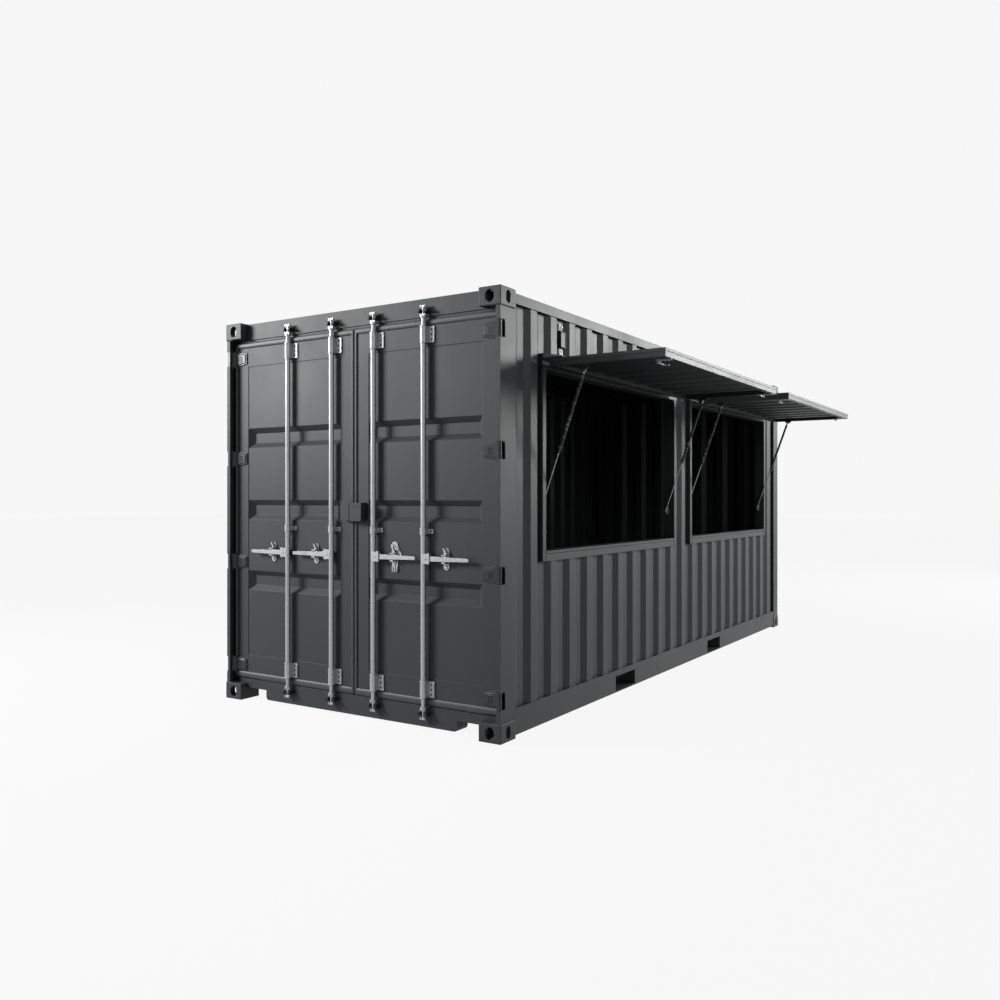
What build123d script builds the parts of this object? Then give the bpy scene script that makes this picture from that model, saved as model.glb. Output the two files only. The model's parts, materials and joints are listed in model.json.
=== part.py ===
from build123d import *
import os
from math import hypot

# ---------------------------------------------------------------- driving dimensions (mm)
# Row frame: X along the container, the door end at -X; Y across it, the hatch side at -Y;
# Z up from the ground; origin on the ground under the middle of the base.
LENGTH = 6058
WIDTH = 2438
HEIGHT = 2791

# corner castings
CASTING_LENGTH = 178
CASTING_WIDTH = 162
CASTING_HEIGHT = 118
CASTING_WALL = 28
APERTURE_LENGTH = 124
APERTURE_WIDTH = 63.5
SIDE_HOLE = (79.5, 51)
END_HOLE = (79.5, 63.5)

# base and top frame
INSET = 6
POST_RETURN = 70
POST_BAR = 12
POST_WALL = 6
FLANGE_WIDTH = 38
REBATE_CLEARANCE = 5
REAR_POST_DEPTH = 165
REAR_POST_WIDTH = 150
REAR_POST_LIP = 46
TOP_RAIL_SIZE = 64
TOP_RAIL_DROP = 20
RAIL_WALL = 4
BOTTOM_RAIL_Z = 20
BOTTOM_RAIL_HEIGHT = 165
BOTTOM_RAIL_FLANGE = 46
HEADER_TOP_DROP = 5
HEADER_HEIGHT = 118
HEADER_LIP_HEIGHT = 16
HEADER_LIP_STEP = 8
SILL_BOTTOM = 15
SILL_HEIGHT = 135
SILL_NOTCH_LENGTH = 201
SILL_NOTCH_HEIGHT = 70
SILL_NOTCH_RADIUS = 25
POCKET_WIDTH = 355
POCKET_HEIGHT = 115
POCKET_SPACING = 2025
POCKET_SHIFT = -200
POCKET_FLOOR = 6
CROSS_MEMBER_HEIGHT = 122
CROSS_MEMBER_FLANGE = 45
CROSS_MEMBER_WALL = 4.5
CROSS_MEMBER_PITCH = 310
FLOOR_THICKNESS = 28

# sheet walls and roof
SHEET = 2
WALL_INSET = 12
PITCH = 263.5
OUTER_FLAT = 80
INNER_FLAT = 77.5
DEPTH = 26
FIRST_FLAT = 19
END_STEP = 283
END_STEP_SLOPE = 10
END_STEP_DEPTH = 30
ROOF_PITCH = 209
ROOF_FLAT = 91
ROOF_DEPTH = 20

# hatches
HATCH_WIDTH = 2337
HATCH_MARGIN = 520
HATCH_BOTTOM = 1079
HATCH_TOP_MARGIN = 264
JAMB_WIDTH = 42
JAMB_DEPTH = 100
JAMB_WALL = 4
HATCH_PROUD = 10
HATCH_SILL_HEIGHT = 68
SILL_LIP_HEIGHT = 17
SILL_LIP_PROUD = 4
SILL_GROOVE_HEIGHT = 9
SILL_GROOVE_DEPTH = 6
HATCH_HEAD_HEIGHT = 100
HOOD_REACH = 138
HOOD_EDGE = 5

# flaps
FLAP_PROJECTION = 870
FLAP_THICKNESS = 50
FLAP_LEAD = 55
FLAP_TAIL = 17
FLAP_TUBE = 40
FLAP_SHEET_DROP = 4
FLAP_HINGE_DROP = 43
FLAP_HINGE_OUT = 64
FLAP_HINGE_GAP = 4
FLAP_HOOD_GAP = 3
FLAP_PIN_RADIUS = 5
FLAP_KNUCKLE_RADIUS = 9
FLAP_KNUCKLE_LENGTH = 120
FLAP_KNUCKLES = 3
LATCH_INSET = 30
LATCH_SETBACK = 96
LATCH_PLATE = (60, 100, 4)
KNOB_RADIUS = 14
KNOB_DROP = 16
LEVER = (120, 10, 8)
LEVER_GRIP = 44

# gas struts
STRUT_INSET = 28
STRUT_FOOT_IN = 70
STRUT_FOOT_RISE = 306
STRUT_HEAD_OUT = 265
STRUT_HEAD_DROP = 80
STRUT_CYLINDER_RADIUS = 11
STRUT_ROD_RADIUS = 5
STRUT_ROD_CLEARANCE = 0.3
STRUT_EYE_RADIUS = 9
STRUT_EYE_GAP = 0.5
STRUT_NECK_RADIUS = 6
STRUT_NECK_LENGTH = 20
STRUT_BRACKET_GAP = 6
STRUT_BRACKET_PLATE = 5
STRUT_BRACKET_TIP = 10
STRUT_BRACKET_FOOT = 45
STRUT_STUD_RADIUS = 4
STRUT_FOOT_STUD_RADIUS = 6
STRUT_OVERLAP = 67
STRUT_CYLINDER_LENGTH = 560
STRUT_BORE_START = 40

# door leaves
LEAF_SETBACK = 62
LEAF_THICKNESS = 50
LEAF_EDGE = 44
LEAF_CENTRE_GAP = 18
LEAF_TOP_GAP = 24
LEAF_SILL_GAP = 32
STILE_HINGE = 129
STILE_MEETING = 114
LEAF_RAIL_TOP = 156
LEAF_RAIL_BOTTOM = 146
PANEL_RECESS = 3
TROUGH_HEIGHTS = (1939, 1408, 886)
TROUGH_WIDTH = 145
TROUGH_FLAT = 70
TROUGH_DEPTH = 34
TROUGH_MARGIN = 2
TROUGH_END_SLOPE = 40
GASKET_LIP = 4
GASKET_BACK = 7
GASKET_WIDTH = 34
BEAD_PROUD = 10
BEAD_SHAPE = ((0.06, 0.48), (0.2, 0.84), (0.38, 1))
BEAD_HINGE_WIDTH = 24
BEAD_CENTRE_GAP = 5
BEAD_CENTRE_WIDTH = 24.5
BEAD_TOP_GAP = 2
BEAD_TOP_WIDTH = 41
BEAD_SILL_GAP = 5
BEAD_SILL_WIDTH = 48
BEAD_HINGE_CUT = 3

# door hinges
PIN_INSET = 20
PIN_RADIUS = 8
PIN_CLEARANCE = 0.1
BARREL_RADIUS = 14
BLADE_HEIGHT = 108
BLADE_TIP_HEIGHT = 75
BLADE_REACH = 163
BLADE_THICKNESS = 8
BLADE_TAPER_START = 14
ARM_THICKNESS = 12
LUG_HEIGHT = 16
LUG_GAP = 0.5
HINGE_FROM_BOTTOM = 74
HINGE_STEP = 766
HINGE_FROM_TOP = 95

# lock bars
BAR_RADIUS = 17
BAR_SETBACK = 33
BAR_OFFSETS = (188, 608)
NECK_STEP = 4
COLLAR_STEP = 3
COLLAR_HEIGHT = 12
CAM_HEIGHT = 70
CAM_HEADER_RISE = 35
CAM_SILL_DROP = 47
CAM_WEB_RADIUS = 8
CAM_SEAT = 0.2
CAM_FINGER = (18, 44, 14)
KEEPER_OFFSET = 27
KEEPER_RADIUS = 13
KEEPER_SETBACK = 14
GUIDE_WALL = 5
GUIDE_CLEARANCE = 0.3
GUIDE_END_HEIGHT = 112
GUIDE_END_GAP = 3
GUIDE_MIDDLE_Z = 1281
GUIDE_MIDDLE_HEIGHT = 43
PLATE_THICKNESS = 6
PLATE_REACH = 50
PLATE_HEIGHT = 105
TAB_REACH = 38
TAB_HEIGHT = 29
HANDLE_Z = 1106
HANDLE_LENGTH = 360
HANDLE_ROOT_HEIGHT = 36
HANDLE_TIP_HEIGHT = 22
HANDLE_TIP_CHAMFER = 6
HANDLE_THICKNESS = 10
HANDLE_FRONT = 12
HUB_FRONT = 18
HUB_BACK = 8
HUB_WIDTH = 58
HUB_HEIGHT = 64
RETAINER_OFFSET = 165
RETAINER_HEIGHT = 142
RETAINER_WIDTH = 44
RETAINER_HOLE = 52
RETAINER_HOLE_RADIUS = 6
RETAINER_LARGE = (204, 50)
RETAINER_WING = (120, 46)
RETAINER_WING_PLACE = (18, 40)
RETAINER_WING_TURN = 60
CATCH_WIDTH = 26
CATCH_HEIGHT = 8
CATCH_GAP = 20

# lock box over the meeting edges
BOX_Z = 1404
BOX_HEIGHT = 118
BOX_REACHES = (104, 77)
BOX_FRONT = 4
BOX_WALL = 4
BOX_GAP = 5
BOX_PLATE_REACH = 147
BOX_PLATE_START = 30
BOX_PLATE_HEIGHT = 156
BOX_BEAD_GAP = 1

# vents
VENT_WIDTH = 72
VENT_HEIGHT = 106
VENT_BASE_WIDTH = 58
VENT_BASE_HEIGHT = 222
VENT_BASE_THICKNESS = 4
VENT_DROP = 135
VENT_DIP = 2

# ---------------------------------------------------------------- places that follow
DOOR_X = -LENGTH / 2
SIDE_Y = -WIDTH / 2
LEAF_X = DOOR_X + LEAF_SETBACK
PANEL_X = LEAF_X + PANEL_RECESS
BAR_X = DOOR_X + BAR_SETBACK
PIN_X = DOOR_X + PIN_INSET
PIN_Y = SIDE_Y + PIN_INSET
POST_DEPTH = CASTING_LENGTH
REBATE_DEPTH = LEAF_SETBACK + LEAF_THICKNESS + GASKET_BACK + REBATE_CLEARANCE
END_BEAM_DEPTH = POST_DEPTH - LEAF_SETBACK
WALL_BOTTOM = BOTTOM_RAIL_Z + BOTTOM_RAIL_HEIGHT
WALL_TOP = HEIGHT - TOP_RAIL_DROP - TOP_RAIL_SIZE
HEADER_TOP = HEIGHT - HEADER_TOP_DROP
HEADER_BOTTOM = HEADER_TOP - HEADER_HEIGHT
LIP_BOTTOM = HEADER_BOTTOM - HEADER_LIP_HEIGHT
SILL_TOP = SILL_BOTTOM + SILL_HEIGHT
LEAF_TOP = LIP_BOTTOM - LEAF_TOP_GAP
LEAF_BOTTOM = SILL_TOP + LEAF_SILL_GAP
LEAF_OUTER = SIDE_Y + LEAF_EDGE
LEAF_INNER = -LEAF_CENTRE_GAP / 2
BEAD_Y = (SIDE_Y + FLANGE_WIDTH, -BEAD_CENTRE_GAP / 2)
BEAD_Z = (SILL_TOP + BEAD_SILL_GAP, LIP_BOTTOM - BEAD_TOP_GAP)
HINGE_HEIGHTS = (
    LEAF_BOTTOM + HINGE_FROM_BOTTOM,
    LEAF_BOTTOM + HINGE_FROM_BOTTOM + HINGE_STEP,
    LEAF_BOTTOM + HINGE_FROM_BOTTOM + 2 * HINGE_STEP,
    LEAF_TOP - HINGE_FROM_TOP,
)
CAM_MIDDLES = (SILL_TOP - CAM_SILL_DROP, HEADER_BOTTOM + CAM_HEADER_RISE)
GUIDE_ENDS = (
    BEAD_Z[0] + BEAD_SILL_WIDTH + GUIDE_END_GAP,
    BEAD_Z[1] - BEAD_TOP_WIDTH - GUIDE_END_GAP,
)
HATCH_TOP = WALL_TOP - HATCH_TOP_MARGIN
HATCH_STARTS = (HATCH_MARGIN, LENGTH - HATCH_MARGIN - HATCH_WIDTH)
HATCH_Y = SIDE_Y + WALL_INSET - HATCH_PROUD
POCKET_MIDDLES = (POCKET_SHIFT - POCKET_SPACING / 2, POCKET_SHIFT + POCKET_SPACING / 2)
FLAP_HINGE_Y = SIDE_Y - FLAP_HINGE_OUT
FLAP_HINGE_Z = HATCH_TOP - FLAP_HINGE_DROP
HOOD_BOTTOM = FLAP_HINGE_Z + FLAP_KNUCKLE_RADIUS + FLAP_HOOD_GAP


def span(start, size):
    """The pair of limits that begins at start and is size long."""
    return (start, start + size)


def about(middle, size):
    """The pair of limits of the given size around middle."""
    return (middle - size / 2, middle + size / 2)


def block(x, y, z, mode=Mode.ADD):
    """A box between pairs of limits, in the part being built."""
    with Locations((sum(x) / 2, sum(y) / 2, sum(z) / 2)):
        Box(x[1] - x[0], y[1] - y[0], z[1] - z[0], mode=mode)


def across(x):
    """A plane at x that looks along +X, with Y to its right and Z up."""
    return Plane(origin=(x, 0, 0), x_dir=(0, 1, 0), z_dir=(1, 0, 0))


def along(y):
    """A plane at y that looks along -Y, with X to its right and Z up."""
    return Plane(origin=(0, y, 0), x_dir=(1, 0, 0), z_dir=(0, -1, 0))


def level(z):
    """A horizontal plane at height z."""
    return Plane.XY.offset(z)


def outline(points):
    """A closed face through the points, in the sketch being built."""
    Polygon(*points, align=None)


def write(name, piece):
    """Label a finished piece and write it as one STEP file."""
    piece.part.label = name
    export_step(piece.part, f"parts/{name}.step")


def wave(start, first, count, pitch, outer_flat, inner_flat, depth):
    """Points (along, in) of count trapezoidal dips from first on, after a flat from start."""
    slope = (pitch - outer_flat - inner_flat) / 2
    points = [(start, 0)]
    for i in range(count):
        here = first + i * pitch
        points += [
            (here, 0),
            (here + slope, depth),
            (here + slope + inner_flat, depth),
            (here + 2 * slope + inner_flat, 0),
        ]
    return points


def centred_wave(start, end, pitch, outer_flat, inner_flat, depth):
    """As many dips as fit between start and end, in the middle of two flat ends."""
    count = int((end - start - outer_flat) // pitch)
    first = (start + end - count * pitch + outer_flat) / 2
    points = wave(start, first, count, pitch, outer_flat, inner_flat, depth)
    return points + [(end, 0)]


def sheet_outline(points, thickness):
    """The closed outline of a folded sheet that has the points on its outer face."""
    back = [(a, b + thickness) for a, b in reversed(points)]
    return points + back


# ---------------------------------------------------------------- corner castings
def casting(z, up):
    """Four hollow corner castings whose lower faces are at z; up is 1 for the top ones."""
    x = span(DOOR_X, CASTING_LENGTH)
    y = span(SIDE_Y, CASTING_WIDTH)
    middle = z + CASTING_HEIGHT / 2
    with BuildPart() as corner:
        block(x, y, (z, z + CASTING_HEIGHT))
        fillet(corner.edges().filter_by(Axis.Z), 6)
        block(
            (x[0] + CASTING_WALL, x[1] - CASTING_WALL / 2),
            (y[0] + CASTING_WALL, y[1] - CASTING_WALL / 2),
            (z + CASTING_WALL / 2, z + CASTING_HEIGHT - CASTING_WALL / 2),
            mode=Mode.SUBTRACT,
        )
        face = z + CASTING_HEIGHT - CASTING_WALL if up else z
        with BuildSketch(level(face)):
            with Locations((sum(x) / 2, sum(y) / 2)):
                SlotOverall(APERTURE_LENGTH, APERTURE_WIDTH)
        extrude(amount=CASTING_WALL, mode=Mode.SUBTRACT)
        with BuildSketch(along(y[0] + CASTING_WALL)):
            with Locations((sum(x) / 2, middle)):
                SlotOverall(SIDE_HOLE[0], SIDE_HOLE[1])
        extrude(amount=CASTING_WALL, mode=Mode.SUBTRACT)
        with BuildSketch(across(x[0])):
            with Locations((sum(y) / 2, middle)):
                SlotOverall(END_HOLE[0], END_HOLE[1])
        extrude(amount=CASTING_WALL, mode=Mode.SUBTRACT)
        mirror(about=Plane.XZ)
        mirror(about=Plane.YZ)
    return corner


# ---------------------------------------------------------------- posts
def door_post_pair():
    """The two posts of the door end: a bar with a rebate for the leaf, pocketed at each hinge."""
    outer = [
        (INSET, INSET),
        (POST_DEPTH, INSET),
        (POST_DEPTH, POST_RETURN),
        (REBATE_DEPTH, POST_RETURN),
        (REBATE_DEPTH, INSET + POST_BAR),
        (INSET + POST_BAR, INSET + POST_BAR),
        (INSET + POST_BAR, FLANGE_WIDTH),
        (INSET, FLANGE_WIDTH),
    ]
    hollow = (
        POST_DEPTH - REBATE_DEPTH - 2 * POST_WALL,
        POST_RETURN - INSET - 2 * POST_WALL,
    )
    middle = ((POST_DEPTH + REBATE_DEPTH) / 2, (POST_RETURN + INSET) / 2)
    pocket = BLADE_HEIGHT + 2 * LUG_GAP
    with BuildPart() as posts:
        with BuildSketch(level(CASTING_HEIGHT)):
            outline([(DOOR_X + a, SIDE_Y + b) for a, b in outer])
            with Locations((DOOR_X + middle[0], SIDE_Y + middle[1])):
                Rectangle(hollow[0], hollow[1], mode=Mode.SUBTRACT)
        extrude(amount=HEIGHT - 2 * CASTING_HEIGHT)
        for z in HINGE_HEIGHTS:
            block(
                span(DOOR_X, LEAF_SETBACK),
                span(SIDE_Y, LEAF_SETBACK),
                about(z, pocket),
                mode=Mode.SUBTRACT,
            )
            for side in (-1, 1):
                block(
                    (DOOR_X + INSET, DOOR_X + 2 * PIN_INSET),
                    (SIDE_Y + INSET, SIDE_Y + FLANGE_WIDTH),
                    about(z + side * (pocket + LUG_HEIGHT) / 2, LUG_HEIGHT),
                )
        mirror(about=Plane.XZ)
    return posts


def rear_post_pair():
    """The two posts of the closed end, angles with a lip each way."""
    inner = INSET + POST_WALL
    section = [
        (INSET, INSET),
        (REAR_POST_DEPTH, INSET),
        (REAR_POST_DEPTH, REAR_POST_LIP),
        (REAR_POST_DEPTH - POST_WALL, REAR_POST_LIP),
        (REAR_POST_DEPTH - POST_WALL, inner),
        (inner, inner),
        (inner, REAR_POST_WIDTH - POST_WALL),
        (REAR_POST_LIP, REAR_POST_WIDTH - POST_WALL),
        (REAR_POST_LIP, REAR_POST_WIDTH),
        (INSET, REAR_POST_WIDTH),
    ]
    with BuildPart() as posts:
        with BuildSketch(level(CASTING_HEIGHT)):
            outline([(-DOOR_X - a, SIDE_Y + b) for a, b in section])
        extrude(amount=HEIGHT - 2 * CASTING_HEIGHT)
        mirror(about=Plane.XZ)
    return posts


# ---------------------------------------------------------------- end beams and rails
def header_beam():
    """The beam over the doors, between the top castings, with a set-back lip below it."""
    between = (SIDE_Y + CASTING_WIDTH, -SIDE_Y - CASTING_WIDTH)
    inside = (SIDE_Y + POST_RETURN, -SIDE_Y - POST_RETURN)
    back = LEAF_X + END_BEAM_DEPTH
    with BuildPart() as beam:
        block((LEAF_X, back), between, (HEADER_BOTTOM, HEADER_TOP))
        block((LEAF_X, back), inside, (HEADER_BOTTOM, HEIGHT - CASTING_HEIGHT))
        block((LEAF_X + HEADER_LIP_STEP, back), inside, (LIP_BOTTOM, HEADER_BOTTOM))
    return beam


def sill_beam():
    """The beam under the doors, notched beside the bottom castings."""
    x = span(LEAF_X, END_BEAM_DEPTH)
    edge = -SIDE_Y - CASTING_WIDTH
    with BuildPart() as beam:
        block(x, (-edge, edge), (SILL_BOTTOM, SILL_TOP))
        block(
            x,
            (SIDE_Y + POST_RETURN, -SIDE_Y - POST_RETURN),
            (CASTING_HEIGHT, SILL_TOP),
        )
        for side in (-1, 1):
            block(
                x,
                sorted((side * edge, side * (edge - SILL_NOTCH_LENGTH))),
                span(SILL_BOTTOM, SILL_NOTCH_HEIGHT),
                mode=Mode.SUBTRACT,
            )
        feet = beam.edges().filter_by(Axis.X).group_by(Axis.Z)[0]
        fillet(feet, SILL_NOTCH_RADIUS)
    return beam


def rear_rail_pair():
    """The rails above and below the rear wall, between the castings."""
    y = (SIDE_Y + CASTING_WIDTH, -SIDE_Y - CASTING_WIDTH)
    x = (-DOOR_X - INSET - TOP_RAIL_SIZE, -DOOR_X - INSET)
    with BuildPart() as rails:
        block(x, y, (WALL_TOP, HEIGHT - TOP_RAIL_DROP))
        block(x, y, (BOTTOM_RAIL_Z, WALL_BOTTOM))
    return rails


def top_rail_pair():
    """Square tubes along the top of both sides."""
    x = (DOOR_X + CASTING_LENGTH, -DOOR_X - CASTING_LENGTH)
    y = span(SIDE_Y + INSET, TOP_RAIL_SIZE)
    z = (WALL_TOP, HEIGHT - TOP_RAIL_DROP)
    with BuildPart() as rails:
        block(x, y, z)
        block(
            x,
            (y[0] + RAIL_WALL, y[1] - RAIL_WALL),
            (z[0] + RAIL_WALL, z[1] - RAIL_WALL),
            mode=Mode.SUBTRACT,
        )
        mirror(about=Plane.XZ)
    return rails


def bottom_rail_pair():
    """Channels along the bottom of both sides, with the fork pockets cut through."""
    x = (DOOR_X + CASTING_LENGTH, -DOOR_X - CASTING_LENGTH)
    y = span(SIDE_Y + INSET, BOTTOM_RAIL_FLANGE)
    z = (BOTTOM_RAIL_Z, WALL_BOTTOM)
    with BuildPart() as rails:
        block(x, y, z)
        block(
            x,
            (y[0] + RAIL_WALL, y[1]),
            (z[0] + RAIL_WALL, z[1] - RAIL_WALL),
            mode=Mode.SUBTRACT,
        )
        for middle in POCKET_MIDDLES:
            block(
                about(middle, POCKET_WIDTH),
                y,
                span(BOTTOM_RAIL_Z + POCKET_FLOOR, POCKET_HEIGHT),
                mode=Mode.SUBTRACT,
            )
        mirror(about=Plane.XZ)
    return rails


# ---------------------------------------------------------------- floor
FLOOR_TOP = WALL_BOTTOM - RAIL_WALL
FLOOR_BOTTOM = FLOOR_TOP - FLOOR_THICKNESS
MEMBER_BOTTOM = FLOOR_BOTTOM - CROSS_MEMBER_HEIGHT
MEMBER_Y = (SIDE_Y + INSET + RAIL_WALL, -SIDE_Y - INSET - RAIL_WALL)


def cross_member_places():
    """X of each channel's back, with which way its flanges point."""
    places = []
    for middle in POCKET_MIDDLES:
        places.append((middle - POCKET_WIDTH / 2, -1))
        places.append((middle + POCKET_WIDTH / 2, 1))
    start = DOOR_X + POST_DEPTH + CROSS_MEMBER_PITCH / 2
    end = -DOOR_X - CASTING_LENGTH - CROSS_MEMBER_FLANGE
    x = start
    while x < end:
        reach = POCKET_WIDTH / 2 + 2 * CROSS_MEMBER_FLANGE + 20
        if all(abs(x - middle) > reach for middle in POCKET_MIDDLES):
            places.append((x, 1))
        x += CROSS_MEMBER_PITCH
    return places


def cross_member_row():
    """Channels under the floor from rail to rail, with one each side of each fork pocket."""
    top = FLOOR_BOTTOM
    with BuildPart() as members:
        for x, way in cross_member_places():
            points = [
                (0, MEMBER_BOTTOM),
                (CROSS_MEMBER_FLANGE, MEMBER_BOTTOM),
                (CROSS_MEMBER_FLANGE, MEMBER_BOTTOM + CROSS_MEMBER_WALL),
                (CROSS_MEMBER_WALL, MEMBER_BOTTOM + CROSS_MEMBER_WALL),
                (CROSS_MEMBER_WALL, top - CROSS_MEMBER_WALL),
                (CROSS_MEMBER_FLANGE, top - CROSS_MEMBER_WALL),
                (CROSS_MEMBER_FLANGE, top),
                (0, top),
            ]
            with BuildSketch(along(MEMBER_Y[1])):
                outline([(x + way * a, b) for a, b in points])
            extrude(amount=MEMBER_Y[1] - MEMBER_Y[0])
    return members


def pocket_plates():
    """The plate over each fork pocket and the straps under its ends."""
    with BuildPart() as plates:
        for middle in POCKET_MIDDLES:
            block(
                about(middle, POCKET_WIDTH),
                MEMBER_Y,
                (FLOOR_BOTTOM - CROSS_MEMBER_WALL, FLOOR_BOTTOM),
            )
            for side in (-1, 1):
                edge = side * (MEMBER_Y[1] - POCKET_WIDTH / 4)
                block(
                    about(middle, POCKET_WIDTH),
                    about(edge, POCKET_WIDTH / 2),
                    (MEMBER_BOTTOM - POCKET_FLOOR + RAIL_WALL, MEMBER_BOTTOM),
                )
    return plates


def floor_sheet():
    """The plywood floor on the cross members, between the side rails."""
    with BuildPart() as board:
        block(
            (DOOR_X + POST_DEPTH, -DOOR_X - INSET - TOP_RAIL_SIZE),
            (SIDE_Y + INSET + BOTTOM_RAIL_FLANGE, -SIDE_Y - INSET - BOTTOM_RAIL_FLANGE),
            (FLOOR_BOTTOM, FLOOR_TOP),
        )
    return board


# ---------------------------------------------------------------- walls and roof
def cut_castings():
    """Cut the room of the four top castings out of the sheet being built."""
    for x in (DOOR_X, -DOOR_X - CASTING_LENGTH):
        for y in (SIDE_Y, -SIDE_Y - CASTING_WIDTH):
            block(
                span(x, CASTING_LENGTH),
                span(y, CASTING_WIDTH),
                (HEIGHT - CASTING_HEIGHT, HEIGHT),
                mode=Mode.SUBTRACT,
            )


SLOPE = (PITCH - OUTER_FLAT - INNER_FLAT) / 2
FIRST_DIP = POST_DEPTH + FIRST_FLAT
DIP_COUNT = int((LENGTH - END_STEP - FIRST_DIP) // PITCH)
SIDE_WAVE = wave(
    POST_DEPTH, FIRST_DIP, DIP_COUNT, PITCH, OUTER_FLAT, INNER_FLAT, DEPTH
) + [
    (LENGTH - END_STEP, 0),
    (LENGTH - END_STEP + END_STEP_SLOPE, END_STEP_DEPTH),
    (LENGTH - REAR_POST_DEPTH, END_STEP_DEPTH),
]


def side_wall_piece(lengths, heights, side=-1):
    """Pieces of the corrugated side wall between the given lengths from the door end."""
    points = sheet_outline(SIDE_WAVE, SHEET)
    with BuildPart(mode=Mode.PRIVATE) as kept:
        for start, end in lengths:
            block((DOOR_X + start, DOOR_X + end), (SIDE_Y, -SIDE_Y), heights)
    with BuildPart() as wall:
        with BuildSketch(level(heights[0])):
            outline([(DOOR_X + a, side * (-SIDE_Y - WALL_INSET - b)) for a, b in points])
        extrude(amount=heights[1] - heights[0])
        add(kept.part, mode=Mode.INTERSECT)
        cut_castings()
    return wall


def rear_wall_sheet():
    """The corrugated wall of the closed end."""
    start = REAR_POST_WIDTH
    points = sheet_outline(
        centred_wave(start, WIDTH - start, PITCH, OUTER_FLAT, INNER_FLAT, DEPTH), SHEET
    )
    with BuildPart() as wall:
        with BuildSketch(level(WALL_BOTTOM)):
            outline([(-DOOR_X - WALL_INSET - b, SIDE_Y + a) for a, b in points])
        extrude(amount=WALL_TOP - WALL_BOTTOM)
        cut_castings()
    return wall


def roof_sheet():
    """The roof between the top rails, corrugated across the container."""
    start = POST_DEPTH
    end = LENGTH - INSET - TOP_RAIL_SIZE
    points = sheet_outline(
        centred_wave(start, end, ROOF_PITCH, ROOF_FLAT, ROOF_FLAT, ROOF_DEPTH), SHEET
    )
    top = HEIGHT - TOP_RAIL_DROP
    y = -SIDE_Y - INSET - TOP_RAIL_SIZE
    with BuildPart() as roof:
        with BuildSketch(along(y)):
            outline([(DOOR_X + a, top - b) for a, b in points])
        extrude(amount=2 * y)
        cut_castings()
    return roof


# ---------------------------------------------------------------- hatches
def hatch_jamb_row():
    """The upright tubes of both hatch frames, each with the stud of a gas strut."""
    y = span(HATCH_Y, JAMB_DEPTH)
    z = (HATCH_BOTTOM, HATCH_TOP - HATCH_HEAD_HEIGHT)
    stud = STRUT_INSET - STRUT_EYE_RADIUS - STRUT_EYE_GAP
    with BuildPart() as jambs:
        for start in HATCH_STARTS:
            for edge, way in ((start, 1), (start + HATCH_WIDTH, -1)):
                near = DOOR_X + edge
                face = near + way * JAMB_WIDTH
                x = sorted((near, face))
                block(x, y, z)
                block(
                    (x[0] + JAMB_WALL, x[1] - JAMB_WALL),
                    (y[0] + JAMB_WALL, y[1] - JAMB_WALL),
                    z,
                    mode=Mode.SUBTRACT,
                )
                with BuildSketch(
                    Plane(
                        origin=(face, STRUT_FOOT[0], STRUT_FOOT[1]),
                        z_dir=(way, 0, 0),
                    )
                ):
                    Circle(STRUT_FOOT_STUD_RADIUS)
                extrude(amount=stud)
    return jambs


def hatch_sill_row():
    """The bottoms of both hatch frames: a band with a groove under a proud lip."""
    groove = HATCH_SILL_HEIGHT - SILL_LIP_HEIGHT - SILL_GROOVE_HEIGHT
    lip = HATCH_SILL_HEIGHT - SILL_LIP_HEIGHT
    section = [
        (0, 0),
        (JAMB_DEPTH, 0),
        (JAMB_DEPTH, HATCH_SILL_HEIGHT),
        (-SILL_LIP_PROUD, HATCH_SILL_HEIGHT),
        (-SILL_LIP_PROUD, lip),
        (SILL_GROOVE_DEPTH, lip),
        (SILL_GROOVE_DEPTH, groove),
        (0, groove),
    ]
    with BuildPart() as sills:
        for start in HATCH_STARTS:
            with BuildSketch(across(DOOR_X + start + JAMB_WIDTH)):
                outline([(HATCH_Y + a, HATCH_BOTTOM + b) for a, b in section])
            extrude(amount=HATCH_WIDTH - 2 * JAMB_WIDTH)
    return sills


def hatch_head_row():
    """The tops of both hatch frames, with the sloping hood that carries the flap's hinges."""
    section = [
        (HATCH_Y + JAMB_DEPTH, HATCH_TOP - HATCH_HEAD_HEIGHT),
        (HATCH_Y + JAMB_DEPTH, HATCH_TOP),
        (HATCH_Y, HATCH_TOP),
        (HATCH_Y - HOOD_REACH, HOOD_BOTTOM + HOOD_EDGE),
        (HATCH_Y - HOOD_REACH, HOOD_BOTTOM),
        (HATCH_Y, HOOD_BOTTOM),
        (HATCH_Y, HATCH_TOP - HATCH_HEAD_HEIGHT),
    ]
    half = FLAP_KNUCKLE_LENGTH / 2 + LUG_GAP
    with BuildPart() as heads:
        for start in HATCH_STARTS:
            with BuildSketch(across(DOOR_X + start)):
                outline(section)
            extrude(amount=HATCH_WIDTH)
            for middle in knuckle_places(start):
                for side in (-1, 1):
                    block(
                        about(middle + side * (half + FLAP_PIN_RADIUS), 2 * FLAP_PIN_RADIUS),
                        about(FLAP_HINGE_Y, 2 * FLAP_PIN_RADIUS),
                        (FLAP_HINGE_Z - FLAP_PIN_RADIUS, HOOD_BOTTOM),
                    )
                with BuildSketch(hinge_line(middle - half)):
                    Circle(FLAP_PIN_RADIUS)
                extrude(amount=2 * half)
    return heads


def knuckle_places(start):
    """X of the middle of each knuckle of the flap over the hatch that begins at start."""
    step = HATCH_WIDTH / FLAP_KNUCKLES
    return [DOOR_X + start + step * (i + 0.5) for i in range(FLAP_KNUCKLES)]


def hinge_line(x):
    """The plane across a flap's hinge at x."""
    return Plane(origin=(x, FLAP_HINGE_Y, FLAP_HINGE_Z), z_dir=(1, 0, 0))


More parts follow.
